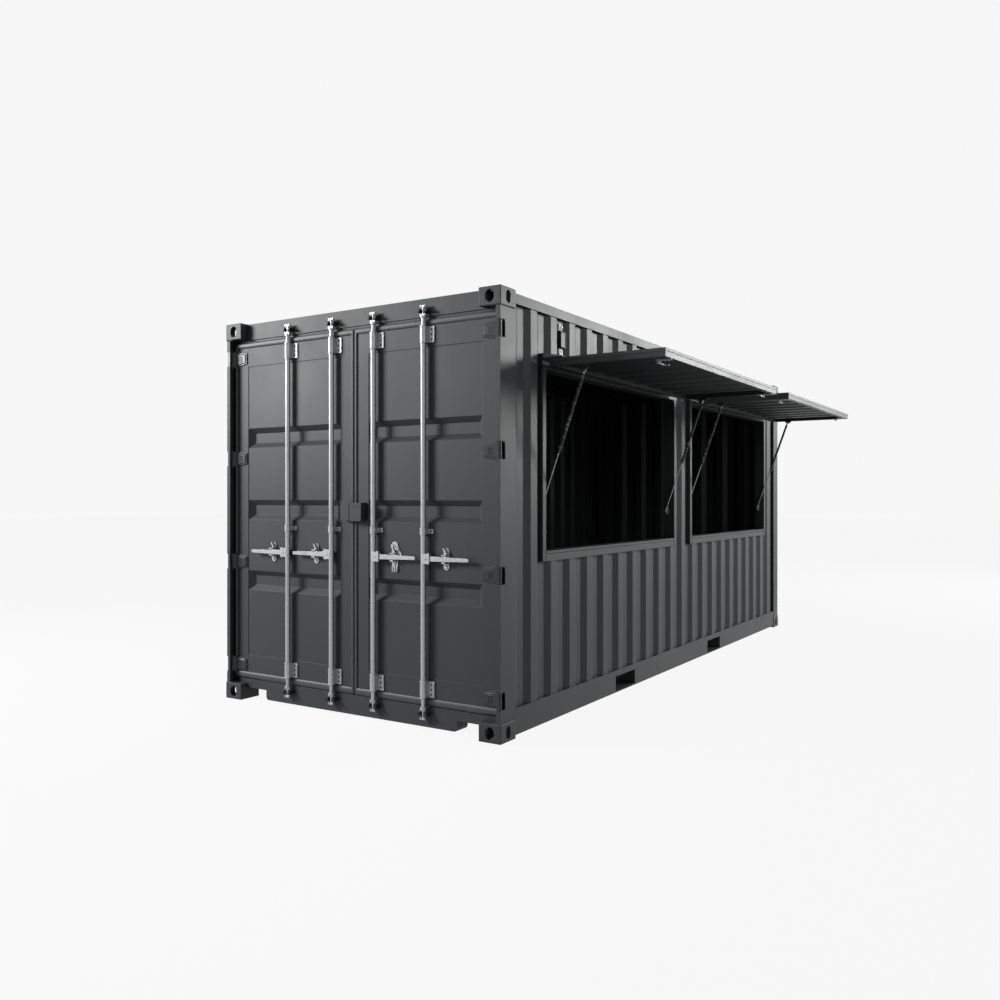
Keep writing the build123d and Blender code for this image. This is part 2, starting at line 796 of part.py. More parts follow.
# ---------------------------------------------------------------- the front flap, open and level
FLAP_TOP = FLAP_HINGE_Z - FLAP_KNUCKLE_RADIUS + 2
FLAP_BOTTOM = FLAP_TOP - FLAP_THICKNESS
FLAP_X = (
    DOOR_X + HATCH_MARGIN - FLAP_LEAD,
    DOOR_X + HATCH_MARGIN + HATCH_WIDTH - FLAP_TAIL,
)
FLAP_Y = (
    SIDE_Y - FLAP_PROJECTION,
    FLAP_HINGE_Y - FLAP_KNUCKLE_RADIUS - FLAP_HINGE_GAP,
)
OPENING_X = (
    DOOR_X + HATCH_MARGIN + JAMB_WIDTH,
    DOOR_X + HATCH_MARGIN + HATCH_WIDTH - JAMB_WIDTH,
)
STRUT_PLACES = (OPENING_X[0] + STRUT_INSET, OPENING_X[1] - STRUT_INSET)
STRUT_HEAD = (SIDE_Y - STRUT_HEAD_OUT, FLAP_HINGE_Z - STRUT_HEAD_DROP)
STRUT_FOOT = (SIDE_Y + STRUT_FOOT_IN, HATCH_BOTTOM + STRUT_FOOT_RISE)
STRUT_LENGTH = hypot(STRUT_HEAD[0] - STRUT_FOOT[0], STRUT_HEAD[1] - STRUT_FOOT[1])


def flap_frame():
    """The tube frame of the flap, with its hinge knuckles and strut brackets."""
    z = (FLAP_BOTTOM, FLAP_TOP)
    with BuildPart() as frame:
        block(FLAP_X, FLAP_Y, z)
        block(
            (FLAP_X[0] + FLAP_TUBE, FLAP_X[1] - FLAP_TUBE),
            (FLAP_Y[0] + FLAP_TUBE, FLAP_Y[1] - FLAP_TUBE),
            z,
            mode=Mode.SUBTRACT,
        )
        for middle in knuckle_places(HATCH_MARGIN):
            reach = about(middle, FLAP_KNUCKLE_LENGTH)
            with BuildSketch(hinge_line(reach[0])):
                Circle(FLAP_KNUCKLE_RADIUS)
            extrude(amount=FLAP_KNUCKLE_LENGTH)
            block(
                reach,
                (FLAP_Y[1], FLAP_HINGE_Y),
                (FLAP_HINGE_Z - FLAP_KNUCKLE_RADIUS, FLAP_TOP),
            )
            with BuildSketch(hinge_line(reach[0])):
                Circle(FLAP_PIN_RADIUS + PIN_CLEARANCE)
            extrude(amount=FLAP_KNUCKLE_LENGTH, mode=Mode.SUBTRACT)
        for place, way in zip(STRUT_PLACES, (-1, 1)):
            near = place + way * (STRUT_CYLINDER_RADIUS + STRUT_BRACKET_GAP)
            far = near + way * STRUT_BRACKET_PLATE
            with BuildSketch(across(min(near, far))):
                outline(
                    [
                        (STRUT_HEAD[0] - STRUT_BRACKET_FOOT, FLAP_BOTTOM),
                        (STRUT_HEAD[0] - STRUT_BRACKET_TIP, STRUT_HEAD[1] - STRUT_BRACKET_TIP),
                        (STRUT_HEAD[0] + STRUT_BRACKET_TIP, STRUT_HEAD[1] - STRUT_BRACKET_TIP),
                        (STRUT_HEAD[0] + STRUT_BRACKET_FOOT, FLAP_BOTTOM),
                    ]
                )
            extrude(amount=STRUT_BRACKET_PLATE)
            stud_end = place + way * (STRUT_EYE_RADIUS + STRUT_EYE_GAP)
            with BuildSketch(Plane(origin=(stud_end, *STRUT_HEAD), z_dir=(way, 0, 0))):
                Circle(STRUT_STUD_RADIUS)
            extrude(amount=abs(near - stud_end))
            tube = FLAP_X[0] + FLAP_TUBE if way < 0 else FLAP_X[1] - FLAP_TUBE
            seat = tube + way * STRUT_BRACKET_PLATE
            block(
                (min(near, seat), max(near, seat)),
                about(STRUT_HEAD[0], 2 * STRUT_BRACKET_FOOT),
                span(FLAP_BOTTOM, STRUT_BRACKET_PLATE),
            )
    return frame


def flap_sheet():
    """The ribbed sheet inside the flap's frame, its ribs running out from the hinge."""
    edge = (FLAP_X[0] + FLAP_TUBE, FLAP_X[1] - FLAP_TUBE)
    points = sheet_outline(
        centred_wave(edge[0], edge[1], PITCH, OUTER_FLAT, INNER_FLAT, DEPTH), SHEET
    )
    with BuildPart() as sheet:
        with BuildSketch(along(FLAP_Y[1] - FLAP_TUBE)):
            outline([(a, FLAP_TOP - FLAP_SHEET_DROP - b) for a, b in points])
        extrude(amount=FLAP_Y[1] - FLAP_Y[0] - 2 * FLAP_TUBE)
    return sheet


def flap_latches():
    """The two latches under the outer edge of the flap, each a knob with a T lever."""
    y = FLAP_Y[0] + LATCH_SETBACK
    with BuildPart() as latches:
        for edge, way in zip(OPENING_X, (1, -1)):
            x = edge + way * LATCH_INSET
            block(
                about(x, LATCH_PLATE[0]),
                (y - LATCH_PLATE[1] + KNOB_RADIUS, y + KNOB_RADIUS),
                (FLAP_BOTTOM - LATCH_PLATE[2], FLAP_BOTTOM),
            )
            under = FLAP_BOTTOM - LATCH_PLATE[2] - KNOB_DROP
            with BuildSketch(level(under)):
                with Locations((x, y)):
                    Circle(KNOB_RADIUS)
            extrude(amount=KNOB_DROP)
            end = x + way * LEVER[0]
            z = span(under, LEVER[2])
            block(sorted((x, end)), about(y, LEVER[1]), z)
            block(about(end, LEVER[1]), about(y, LEVER_GRIP), z)
    return latches


# ---------------------------------------------------------------- gas struts
def strut_plane(x, from_head):
    """The plane across a strut at the given distance from its head."""
    direction = (
        0,
        (STRUT_FOOT[0] - STRUT_HEAD[0]) / STRUT_LENGTH,
        (STRUT_FOOT[1] - STRUT_HEAD[1]) / STRUT_LENGTH,
    )
    return Plane(
        origin=(
            x,
            STRUT_HEAD[0] + direction[1] * from_head,
            STRUT_HEAD[1] + direction[2] * from_head,
        ),
        x_dir=(1, 0, 0),
        z_dir=direction,
    )


def strut_cylinders():
    """The two cylinders that hang from the front flap, each with an eye and a neck."""
    neck = STRUT_EYE_RADIUS + STRUT_NECK_LENGTH
    with BuildPart() as cylinders:
        for x in STRUT_PLACES:
            with BuildSketch(strut_plane(x, -STRUT_EYE_RADIUS)):
                Circle(STRUT_EYE_RADIUS)
            extrude(amount=2 * STRUT_EYE_RADIUS)
            with BuildSketch(strut_plane(x, 0)):
                Circle(STRUT_NECK_RADIUS)
            extrude(amount=neck)
            with BuildSketch(strut_plane(x, neck)):
                Circle(STRUT_CYLINDER_RADIUS)
            extrude(amount=STRUT_CYLINDER_LENGTH - neck)
            with BuildSketch(strut_plane(x, STRUT_BORE_START)):
                Circle(STRUT_ROD_RADIUS + STRUT_ROD_CLEARANCE)
            extrude(amount=STRUT_CYLINDER_LENGTH, mode=Mode.SUBTRACT)
    return cylinders


def strut_rods():
    """The two rods that slide out of the front flap's cylinders."""
    start = STRUT_CYLINDER_LENGTH - STRUT_OVERLAP
    with BuildPart() as rods:
        for x in STRUT_PLACES:
            with BuildSketch(strut_plane(x, start)):
                Circle(STRUT_ROD_RADIUS)
            extrude(amount=STRUT_LENGTH - start)
            with BuildSketch(strut_plane(x, STRUT_LENGTH - STRUT_EYE_RADIUS)):
                Circle(STRUT_EYE_RADIUS)
            extrude(amount=2 * STRUT_EYE_RADIUS)
    return rods


# ---------------------------------------------------------------- door leaves
PANEL_Y = (LEAF_OUTER + STILE_HINGE, LEAF_INNER - STILE_MEETING)
PANEL_Z = (LEAF_BOTTOM + LEAF_RAIL_BOTTOM, LEAF_TOP - LEAF_RAIL_TOP)


def leaf_frame():
    """The tube frame of the leaf on the hatch side."""
    x = span(LEAF_X, LEAF_THICKNESS)
    with BuildPart() as frame:
        block(x, (LEAF_OUTER, LEAF_INNER), (LEAF_BOTTOM, LEAF_TOP))
        block(x, PANEL_Y, PANEL_Z, mode=Mode.SUBTRACT)
    return frame


def leaf_panel():
    """The sheet of one leaf, pressed with three troughs."""
    mouth = (PANEL_Y[1] - PANEL_Y[0] - 2 * TROUGH_MARGIN, TROUGH_WIDTH)
    floor = (mouth[0] - 2 * TROUGH_END_SLOPE, TROUGH_FLAT)
    middle = sum(PANEL_Y) / 2
    with BuildPart() as panel:
        block(span(PANEL_X, SHEET), PANEL_Y, PANEL_Z)
        for z in TROUGH_HEIGHTS:
            for start, mode in ((SHEET, Mode.ADD), (0, Mode.SUBTRACT)):
                with BuildSketch(across(PANEL_X + start)):
                    with Locations((middle, z)):
                        Rectangle(mouth[0], mouth[1])
                with BuildSketch(across(PANEL_X + start + TROUGH_DEPTH)):
                    with Locations((middle, z)):
                        Rectangle(floor[0], floor[1])
                loft(ruled=True, mode=mode)
    return panel


def bead_outline(limits):
    """The seal's front section: points (across, proud) between two limits, in straight facets."""
    width = limits[1] - limits[0]
    half = [(0, 0)] + [(width * a, BEAD_PROUD * b) for a, b in BEAD_SHAPE]
    other = [(width - a, b) for a, b in reversed(half)]
    return [(limits[0] + a, LEAF_X - b) for a, b in half + other]


def upright_bead(y):
    """A raised strip on the leaf's face between two limits across, as high as the seal."""
    with BuildPart() as strip:
        with BuildSketch(level(BEAD_Z[0])):
            outline([(b, a) for a, b in bead_outline(y)])
        extrude(amount=BEAD_Z[1] - BEAD_Z[0])
    return strip


def level_bead(z):
    """A raised strip on the leaf's face between two heights, as wide as the seal."""
    with BuildPart() as strip:
        with BuildSketch(along(BEAD_Y[1])):
            outline([(b, a) for a, b in bead_outline(z)])
        extrude(amount=BEAD_Y[1] - BEAD_Y[0])
    return strip


def mitred(strip, corners):
    """The front of a strip within four corners of the door's front view."""
    with BuildPart() as cut:
        with BuildSketch(across(LEAF_X - 2 * BEAD_PROUD)):
            outline(corners)
        extrude(amount=2 * BEAD_PROUD)
        add(strip.part, mode=Mode.INTERSECT)
    return cut


def leaf_gasket():
    """The rubber seal of one leaf: a half-round front, a strip round the edge and a back rim."""
    inner_y = (BEAD_Y[0] + BEAD_HINGE_WIDTH, BEAD_Y[1] - BEAD_CENTRE_WIDTH)
    inner_z = (BEAD_Z[0] + BEAD_SILL_WIDTH, BEAD_Z[1] - BEAD_TOP_WIDTH)
    outer = [(y, z) for z in BEAD_Z for y in BEAD_Y]
    inner = [(y, z) for z in inner_z for y in inner_y]
    strips = (
        mitred(upright_bead((BEAD_Y[0], inner_y[0])), [outer[0], inner[0], inner[2], outer[2]]),
        mitred(upright_bead((inner_y[1], BEAD_Y[1])), [outer[1], outer[3], inner[3], inner[1]]),
        mitred(level_bead((BEAD_Z[0], inner_z[0])), [outer[0], outer[1], inner[1], inner[0]]),
        mitred(level_bead((inner_z[1], BEAD_Z[1])), [outer[2], inner[2], inner[3], outer[3]]),
    )
    back = LEAF_X + LEAF_THICKNESS
    with BuildPart() as gasket:
        for strip in strips:
            add(strip.part)
        for z in HINGE_HEIGHTS:
            block(
                (LEAF_X - 2 * BEAD_PROUD, LEAF_X),
                span(BEAD_Y[0], BEAD_HINGE_WIDTH),
                about(z, BLADE_HEIGHT + 2 * BEAD_HINGE_CUT),
                mode=Mode.SUBTRACT,
            )
        block(
            (LEAF_X, back + GASKET_BACK),
            (LEAF_OUTER - GASKET_LIP, LEAF_INNER),
            (LEAF_BOTTOM - GASKET_LIP, LEAF_TOP + GASKET_LIP),
        )
        block(
            (LEAF_X, back),
            (LEAF_OUTER, LEAF_INNER),
            (LEAF_BOTTOM, LEAF_TOP),
            mode=Mode.SUBTRACT,
        )
        block(
            (back, back + GASKET_BACK),
            (LEAF_OUTER + GASKET_WIDTH, LEAF_INNER - GASKET_WIDTH),
            (LEAF_BOTTOM + GASKET_WIDTH, LEAF_TOP - GASKET_WIDTH),
            mode=Mode.SUBTRACT,
        )
    return gasket


def leaf_hinges():
    """The four cranked blades of one leaf with the square-backed barrels round the pins."""
    arm = ARM_THICKNESS / 2**1.5
    reach = LEAF_SETBACK - PIN_INSET
    section = [
        (arm, -arm),
        (reach, reach - 2 * arm),
        (reach, BLADE_REACH - PIN_INSET),
        (reach - BLADE_THICKNESS, BLADE_REACH - PIN_INSET),
        (reach - BLADE_THICKNESS, reach - BLADE_THICKNESS + 2 * arm),
        (-arm, arm),
    ]
    tip = SIDE_Y + BLADE_REACH
    with BuildPart() as hinges:
        for z in HINGE_HEIGHTS:
            with BuildSketch(level(z - BLADE_HEIGHT / 2)):
                outline([(PIN_X + a, PIN_Y + b) for a, b in section])
                with Locations((PIN_X, PIN_Y)):
                    Circle(BARREL_RADIUS)
                with Locations((PIN_X, (PIN_Y + SIDE_Y + FLANGE_WIDTH) / 2)):
                    Rectangle(2 * BARREL_RADIUS, FLANGE_WIDTH - PIN_INSET)
                with Locations((PIN_X, PIN_Y)):
                    Circle(PIN_RADIUS + PIN_CLEARANCE, mode=Mode.SUBTRACT)
            extrude(amount=BLADE_HEIGHT)
            for side in (-1, 1):
                with BuildSketch(across(LEAF_X - BLADE_THICKNESS)):
                    outline(
                        [
                            (LEAF_OUTER + BLADE_TAPER_START, z + side * BLADE_HEIGHT / 2),
                            (tip, z + side * BLADE_HEIGHT / 2),
                            (tip, z + side * BLADE_TIP_HEIGHT / 2),
                        ]
                    )
                extrude(amount=BLADE_THICKNESS, mode=Mode.SUBTRACT)
    return hinges


def hinge_pin_row():
    """The pins between the lugs of both door posts."""
    length = BLADE_HEIGHT + 2 * LUG_GAP
    with BuildPart() as pins:
        for z in HINGE_HEIGHTS:
            with BuildSketch(level(z - length / 2)):
                with Locations((PIN_X, PIN_Y)):
                    Circle(PIN_RADIUS)
            extrude(amount=length)
        mirror(about=Plane.XZ)
    return pins


def guide(offset, z, tall, face, reach, height):
    """A sleeve round a lock bar, seated on a face, with a fixing plate on its -Y side."""
    radius = BAR_RADIUS + GUIDE_WALL
    with BuildPart() as sleeve:
        with BuildSketch(level(z - tall / 2)):
            with Locations((BAR_X, offset)):
                Circle(radius)
            with Locations(((BAR_X + face) / 2, offset)):
                Rectangle(face - BAR_X, 2 * radius)
        extrude(amount=tall)
        block(
            (face - PLATE_THICKNESS, face),
            (offset - radius - reach, offset),
            about(z, height),
        )
        with BuildSketch(level(z - tall / 2)):
            with Locations((BAR_X, offset)):
                Circle(BAR_RADIUS + GUIDE_CLEARANCE)
        extrude(amount=tall, mode=Mode.SUBTRACT)
    return sleeve


def retainer(place, large):
    """The plate behind a handle with a tab over and a tab under the place where it rests."""
    under = HANDLE_Z - CATCH_GAP - CATCH_HEIGHT
    with BuildPart() as plate:
        with BuildSketch(across(PANEL_X - PLATE_THICKNESS)):
            with Locations((place, HANDLE_Z)):
                SlotOverall(RETAINER_HEIGHT, RETAINER_WIDTH, rotation=90)
            if large:
                with Locations((place, HANDLE_Z)):
                    SlotOverall(RETAINER_LARGE[0], RETAINER_LARGE[1], rotation=90)
                with Locations(
                    (place - RETAINER_WING_PLACE[0], HANDLE_Z + RETAINER_WING_PLACE[1])
                ):
                    SlotOverall(RETAINER_WING[0], RETAINER_WING[1], rotation=RETAINER_WING_TURN)
            with Locations(
                (place, HANDLE_Z - RETAINER_HOLE), (place, HANDLE_Z + RETAINER_HOLE)
            ):
                Circle(RETAINER_HOLE_RADIUS, mode=Mode.SUBTRACT)
        extrude(amount=PLATE_THICKNESS)
        for bottom in (under, HANDLE_Z + CATCH_GAP):
            block(
                (BAR_X - HANDLE_FRONT, PANEL_X),
                about(place, CATCH_WIDTH),
                span(bottom, CATCH_HEIGHT),
            )
    return plate


def leaf_fittings(side, large):
    """The bar guides and handle retainers of one leaf; side is -1 for the hatch side."""
    half = GUIDE_END_HEIGHT / 2
    pieces = []
    for offset in BAR_OFFSETS:
        bar = side * offset
        pieces += [
            guide(bar, z, GUIDE_END_HEIGHT, LEAF_X, PLATE_REACH, PLATE_HEIGHT)
            for z in (GUIDE_ENDS[0] + half, GUIDE_ENDS[1] - half)
        ]
        pieces += [
            guide(bar, GUIDE_MIDDLE_Z, GUIDE_MIDDLE_HEIGHT, PANEL_X, TAB_REACH, TAB_HEIGHT),
            retainer(side * (offset + RETAINER_OFFSET), large and offset == BAR_OFFSETS[0]),
        ]
    with BuildPart() as fittings:
        for piece in pieces:
            add(piece.part)
    return fittings


def lock_box_half(reach, plate):
    """Half of the padlock box, on the meeting edge of the hatch-side leaf."""
    edge = -BOX_GAP / 2
    front = DOOR_X + BOX_FRONT
    z = about(BOX_Z, BOX_HEIGHT)
    with BuildPart() as box:
        block((front, LEAF_X), (-reach, edge), z)
        block(
            (front + BOX_WALL, LEAF_X),
            (-reach + BOX_WALL, edge),
            (z[0], z[1] - BOX_WALL),
            mode=Mode.SUBTRACT,
        )
        if plate:
            block(
                (LEAF_X - BOX_WALL, LEAF_X),
                (-BOX_PLATE_REACH, -BOX_PLATE_START),
                about(BOX_Z, BOX_PLATE_HEIGHT),
            )
        block(
            (LEAF_X - BEAD_PROUD - BOX_BEAD_GAP, LEAF_X),
            (BEAD_Y[1] - BEAD_CENTRE_WIDTH - BOX_BEAD_GAP, edge),
            z,
            mode=Mode.SUBTRACT,
        )
    return box


def bar_with_handle(offset):
    """One lock bar of the hatch-side leaf and its handle, with a cam seated on each end."""
    necks = (CAM_MIDDLES[0] + CAM_HEIGHT / 2, CAM_MIDDLES[1] - CAM_HEIGHT / 2)
    seat = COLLAR_HEIGHT + CAM_SEAT
    full = (GUIDE_ENDS[0] - GUIDE_END_GAP, GUIDE_ENDS[1] + GUIDE_END_GAP)
    rounds = [
        (full, BAR_RADIUS),
        ((necks[0] + seat, necks[1] - seat), BAR_RADIUS - NECK_STEP),
        (span(necks[0], COLLAR_HEIGHT), BAR_RADIUS + COLLAR_STEP),
        ((necks[1] - COLLAR_HEIGHT, necks[1]), BAR_RADIUS + COLLAR_STEP),
    ]
    rounds += [(about(z, CAM_HEIGHT), CAM_WEB_RADIUS) for z in CAM_MIDDLES]
    root = HANDLE_ROOT_HEIGHT / 2
    tip = HANDLE_TIP_HEIGHT / 2
    end = -offset - HANDLE_LENGTH
    arm = [
        (-offset, -root),
        (end + HANDLE_TIP_CHAMFER, -tip),
        (end, -tip + HANDLE_TIP_CHAMFER),
        (end, tip - HANDLE_TIP_CHAMFER),
        (end + HANDLE_TIP_CHAMFER, tip),
        (-offset, root),
    ]
    with BuildPart() as bar:
        for (bottom, top), radius in rounds:
            with BuildSketch(level(bottom)):
                with Locations((BAR_X, -offset)):
                    Circle(radius)
            extrude(amount=top - bottom)
        for z in CAM_MIDDLES:
            for side in (-1, 1):
                block(
                    about(BAR_X, CAM_FINGER[0]),
                    about(-offset, CAM_FINGER[1]),
                    about(z + side * (CAM_HEIGHT - CAM_FINGER[2]) / 2, CAM_FINGER[2]),
                )
        block(
            (BAR_X - HUB_FRONT, BAR_X + HUB_BACK),
            (-offset - HUB_WIDTH, -offset),
            about(HANDLE_Z, HUB_HEIGHT),
        )
        with BuildSketch(across(BAR_X - HANDLE_FRONT)):
            outline([(a, HANDLE_Z + b) for a, b in arm])
        extrude(amount=HANDLE_THICKNESS)
    return bar


def keeper_row():
    """A pair of round lugs at each cam, on the header and on the sill."""
    with BuildPart() as keepers:
        with BuildSketch(across(DOOR_X + KEEPER_SETBACK)):
            for z in CAM_MIDDLES:
                for offset in BAR_OFFSETS:
                    for side in (-1, 1):
                        with Locations((-offset + side * KEEPER_OFFSET, z)):
                            Circle(KEEPER_RADIUS)
        extrude(amount=LEAF_SETBACK - KEEPER_SETBACK)
        mirror(about=Plane.XZ)
    return keepers


# ---------------------------------------------------------------- vents
def vent_row():
    """Small vents high in the dips of both long walls, each a box on a fixing plate."""
    seat = SIDE_Y + WALL_INSET + DEPTH
    middle = WALL_TOP - VENT_DROP
    with BuildPart() as vents:
        for dip in (VENT_DIP, DIP_COUNT - 1 - VENT_DIP):
            x = DOOR_X + FIRST_DIP + dip * PITCH + SLOPE + INNER_FLAT / 2
            block(
                about(x, VENT_WIDTH),
                (SIDE_Y + WALL_INSET, seat),
                about(middle, VENT_HEIGHT),
            )
            block(
                about(x, VENT_BASE_WIDTH),
                (seat - VENT_BASE_THICKNESS, seat),
                about(middle, VENT_BASE_HEIGHT),
            )
        mirror(about=Plane.XZ)
    return vents


def mirrored(piece, plane=Plane.XZ):
    """The same piece on the other side of the container's middle."""
    with BuildPart() as other:
        add(mirror(piece.part, about=plane, mode=Mode.PRIVATE))
    return other


# ---------------------------------------------------------------- build and write
os.makedirs("parts", exist_ok=True)

write("corner_castings_bottom", casting(0, 0))
write("corner_castings_top", casting(HEIGHT - CASTING_HEIGHT, 1))
write("door_posts", door_post_pair())
write("rear_posts", rear_post_pair())
write("door_header", header_beam())
write("door_sill", sill_beam())
write("rear_rails", rear_rail_pair())
write("top_side_rails", top_rail_pair())
write("bottom_side_rails", bottom_rail_pair())
write("cross_members", cross_member_row())
write("fork_pocket_plates", pocket_plates())
write("floor_board", floor_sheet())
write("roof", roof_sheet())
write("wall_left", side_wall_piece([(0, LENGTH)], (WALL_BOTTOM, WALL_TOP), side=1))
write("wall_rear", rear_wall_sheet())

hatch_spans = [(start, start + HATCH_WIDTH) for start in HATCH_STARTS]
piers = [(0, HATCH_STARTS[0])]
piers.append((hatch_spans[0][1], hatch_spans[1][0]))
piers.append((hatch_spans[1][1], LENGTH))
write("wall_right_piers", side_wall_piece(piers, (WALL_BOTTOM, WALL_TOP)))
write("wall_right_lower", side_wall_piece(hatch_spans, (WALL_BOTTOM, HATCH_BOTTOM)))
write("wall_right_upper", side_wall_piece(hatch_spans, (HATCH_TOP, WALL_TOP)))
write("hatch_jambs", hatch_jamb_row())
write("hatch_sills", hatch_sill_row())
write("hatch_heads", hatch_head_row())
write("hinge_pins", hinge_pin_row())
write("cam_keepers", keeper_row())
write("vents", vent_row())

flap_pieces = {
    "flap_frame": flap_frame(),
    "flap_sheet": flap_sheet(),
    "flap_latches": flap_latches(),
    "strut_cylinders": strut_cylinders(),
    "strut_rods": strut_rods(),
}
for name, piece in flap_pieces.items():
    write(f"{name}_front", piece)
    write(f"{name}_rear", mirrored(piece, Plane.YZ))

leaf_pieces = {
    "door_frame": leaf_frame(),
    "door_panel": leaf_panel(),
    "door_gasket": leaf_gasket(),
    "door_hinges": leaf_hinges(),
}
for name, piece in leaf_pieces.items():
    write(f"{name}_right", piece)
    write(f"{name}_left", mirrored(piece))
write("bar_fittings_right", leaf_fittings(-1, True))
write("bar_fittings_left", leaf_fittings(1, False))
write("lock_box_right", lock_box_half(BOX_REACHES[0], False))
write("lock_box_left", mirrored(lock_box_half(BOX_REACHES[1], True)))
for name, offset in zip(("inner", "outer"), BAR_OFFSETS):
    bar = bar_with_handle(offset)
    write(f"lock_bar_right_{name}", bar)
    write(f"lock_bar_left_{name}", mirrored(bar))
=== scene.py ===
"""The looks of a steel container cabin: finishes, fasteners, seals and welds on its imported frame.

The doors face -X and the hatches -Y. Shapes are given in millimetres and made in metres.
"""

import json
import math

import bmesh
import bpy
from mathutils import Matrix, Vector, noise as value_noise


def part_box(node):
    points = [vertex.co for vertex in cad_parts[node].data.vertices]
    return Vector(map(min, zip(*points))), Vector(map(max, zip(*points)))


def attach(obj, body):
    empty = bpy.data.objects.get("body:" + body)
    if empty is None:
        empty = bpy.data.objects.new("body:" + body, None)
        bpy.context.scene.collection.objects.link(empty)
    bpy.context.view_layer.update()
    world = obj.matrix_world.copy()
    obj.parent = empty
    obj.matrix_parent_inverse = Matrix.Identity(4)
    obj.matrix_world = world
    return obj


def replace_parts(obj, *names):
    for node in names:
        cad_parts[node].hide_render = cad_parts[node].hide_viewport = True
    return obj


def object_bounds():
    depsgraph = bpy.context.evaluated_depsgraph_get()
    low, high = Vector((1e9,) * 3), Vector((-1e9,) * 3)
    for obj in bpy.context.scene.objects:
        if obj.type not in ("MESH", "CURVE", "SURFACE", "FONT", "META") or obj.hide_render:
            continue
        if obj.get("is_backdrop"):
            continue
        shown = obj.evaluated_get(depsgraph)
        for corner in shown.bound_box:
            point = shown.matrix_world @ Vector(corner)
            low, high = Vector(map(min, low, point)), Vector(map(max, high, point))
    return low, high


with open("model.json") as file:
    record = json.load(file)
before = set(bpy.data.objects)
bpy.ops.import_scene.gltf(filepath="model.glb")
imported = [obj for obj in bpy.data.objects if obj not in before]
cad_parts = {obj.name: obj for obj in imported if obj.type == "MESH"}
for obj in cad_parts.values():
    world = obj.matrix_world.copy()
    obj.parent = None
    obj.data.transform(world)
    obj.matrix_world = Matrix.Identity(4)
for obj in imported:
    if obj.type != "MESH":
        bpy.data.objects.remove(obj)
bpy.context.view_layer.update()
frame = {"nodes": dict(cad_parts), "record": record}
NODES = frame["nodes"]
JOINTS = {joint["name"]: joint for joint in frame["record"]["behaviour"]["joints"]}

# ---------------------------------------------------------------- finishes, in linear colour
PAINT = (0.041, 0.047, 0.049)
PAINT_WORN = (0.055, 0.062, 0.064)
PAINT_DUST = (0.032, 0.036, 0.037)
PAINT_CHIP = (0.095, 0.100, 0.101)
# painted shade: the near-black that the paint turns in its hollows
PAINT_HOLLOW_SHADE = (0.010, 0.011, 0.011)
SEAL = (0.042, 0.047, 0.049)
# the black of seals and filled joints, also painted shade on the flaps' tops and round the hinge
# blades
SEAL_AND_SHADE_BLACK = (0.008, 0.008, 0.009)
ZINC = (0.39, 0.40, 0.41)
ZINC_DARK = (0.27, 0.28, 0.29)
ZINC_PALE = (0.54, 0.55, 0.56)
# painted shade: the near-black that the zinc turns in its hollows
ZINC_HOLLOW_SHADE = (0.020, 0.020, 0.020)
CAST_DARK = (0.022, 0.023, 0.024)
PLYWOOD = (0.13, 0.085, 0.050)
PLYWOOD_DARK = (0.075, 0.045, 0.026)
STRUT_BLACK = (0.012, 0.012, 0.013)
# painted highlight: the bright flecks on the black struts
STRUT_GLINT = (0.55, 0.56, 0.57)
POLISHED = (0.12, 0.12, 0.125)


# ---------------------------------------------------------------- material building blocks
def new_material(name):
    """An empty node material and its Principled shader."""
    material = bpy.data.materials.new(name)
    material.use_nodes = True
    return material, material.node_tree.nodes["Principled BSDF"]


def add_node(material, kind, **settings):
    """A node of the given kind, with its properties and numbered inputs set."""
    node = material.node_tree.nodes.new(kind)
    for key, value in settings.items():
        if hasattr(node, key):
            setattr(node, key, value)
        else:
            node.inputs[key.replace("_", " ")].default_value = value
    return node


def link(material, source, target):
    """Join an output socket to an input socket."""
    material.node_tree.links.new(source, target)


def place(material, stretch=None):
    """The point in the object's own frame, in metres, with each axis stretched."""
    point = add_node(material, "ShaderNodeTexCoord").outputs["Object"]
    if stretch is None:
        return point
    mapping = add_node(material, "ShaderNodeMapping")
    mapping.inputs["Scale"].default_value = stretch
    link(material, point, mapping.inputs["Vector"])
    return mapping.outputs["Vector"]


def noise(material, scale, detail=4.0, roughness=0.55, where=None):
    """Noise at so many features a metre, from 0 to 1."""
    node = add_node(
        material, "ShaderNodeTexNoise", Scale=scale, Detail=detail, Roughness=roughness
    )
    link(material, where or place(material), node.inputs["Vector"])
    return node.outputs["Fac"]


def ramp(material, value, low, high, start=0.0, end=1.0):
    """value mapped from low..high to start..end, smoothly and held at the ends."""
    node = add_node(material, "ShaderNodeMapRange", interpolation_type="SMOOTHSTEP")
    for socket, number in zip(node.inputs[1:5], (low, high, start, end)):
        socket.default_value = number
    link(material, value, node.inputs["Value"])
    return node.outputs["Result"]


def mixed(material, factor, first, second):
    """first turning into second as factor goes from 0 to 1; each is a colour or a socket."""
    node = add_node(material, "ShaderNodeMix", data_type="RGBA")
    link(material, factor, node.inputs["Factor"])
    for socket, value in ((node.inputs["A"], first), (node.inputs["B"], second)):
        if isinstance(value, tuple):
            socket.default_value = (*value, 1.0)
        else:
            link(material, value, socket)
    return node.outputs["Result"]


def hollow_shade(material, reach, low, high, most):
    """most in the hollows that are narrower than reach metres, falling to 0 in the open."""
    hollow = add_node(material, "ShaderNodeAmbientOcclusion", samples=6, Distance=reach)
    return ramp(material, hollow.outputs["AO"], low, high, start=most, end=0.0)


def bump(material, shader, height, strength, depth, edge=0.0):
    """Relief of the given depth in metres on a shader, with edges rounded by edge metres."""
    node = add_node(material, "ShaderNodeBump", Strength=strength, Distance=depth)
    link(material, height, node.inputs["Height"])
    if edge:
        soft = add_node(material, "ShaderNodeBevel", samples=4, Radius=edge)
        link(material, soft.outputs["Normal"], node.inputs["Normal"])
    link(material, node.outputs["Normal"], shader.inputs["Normal"])


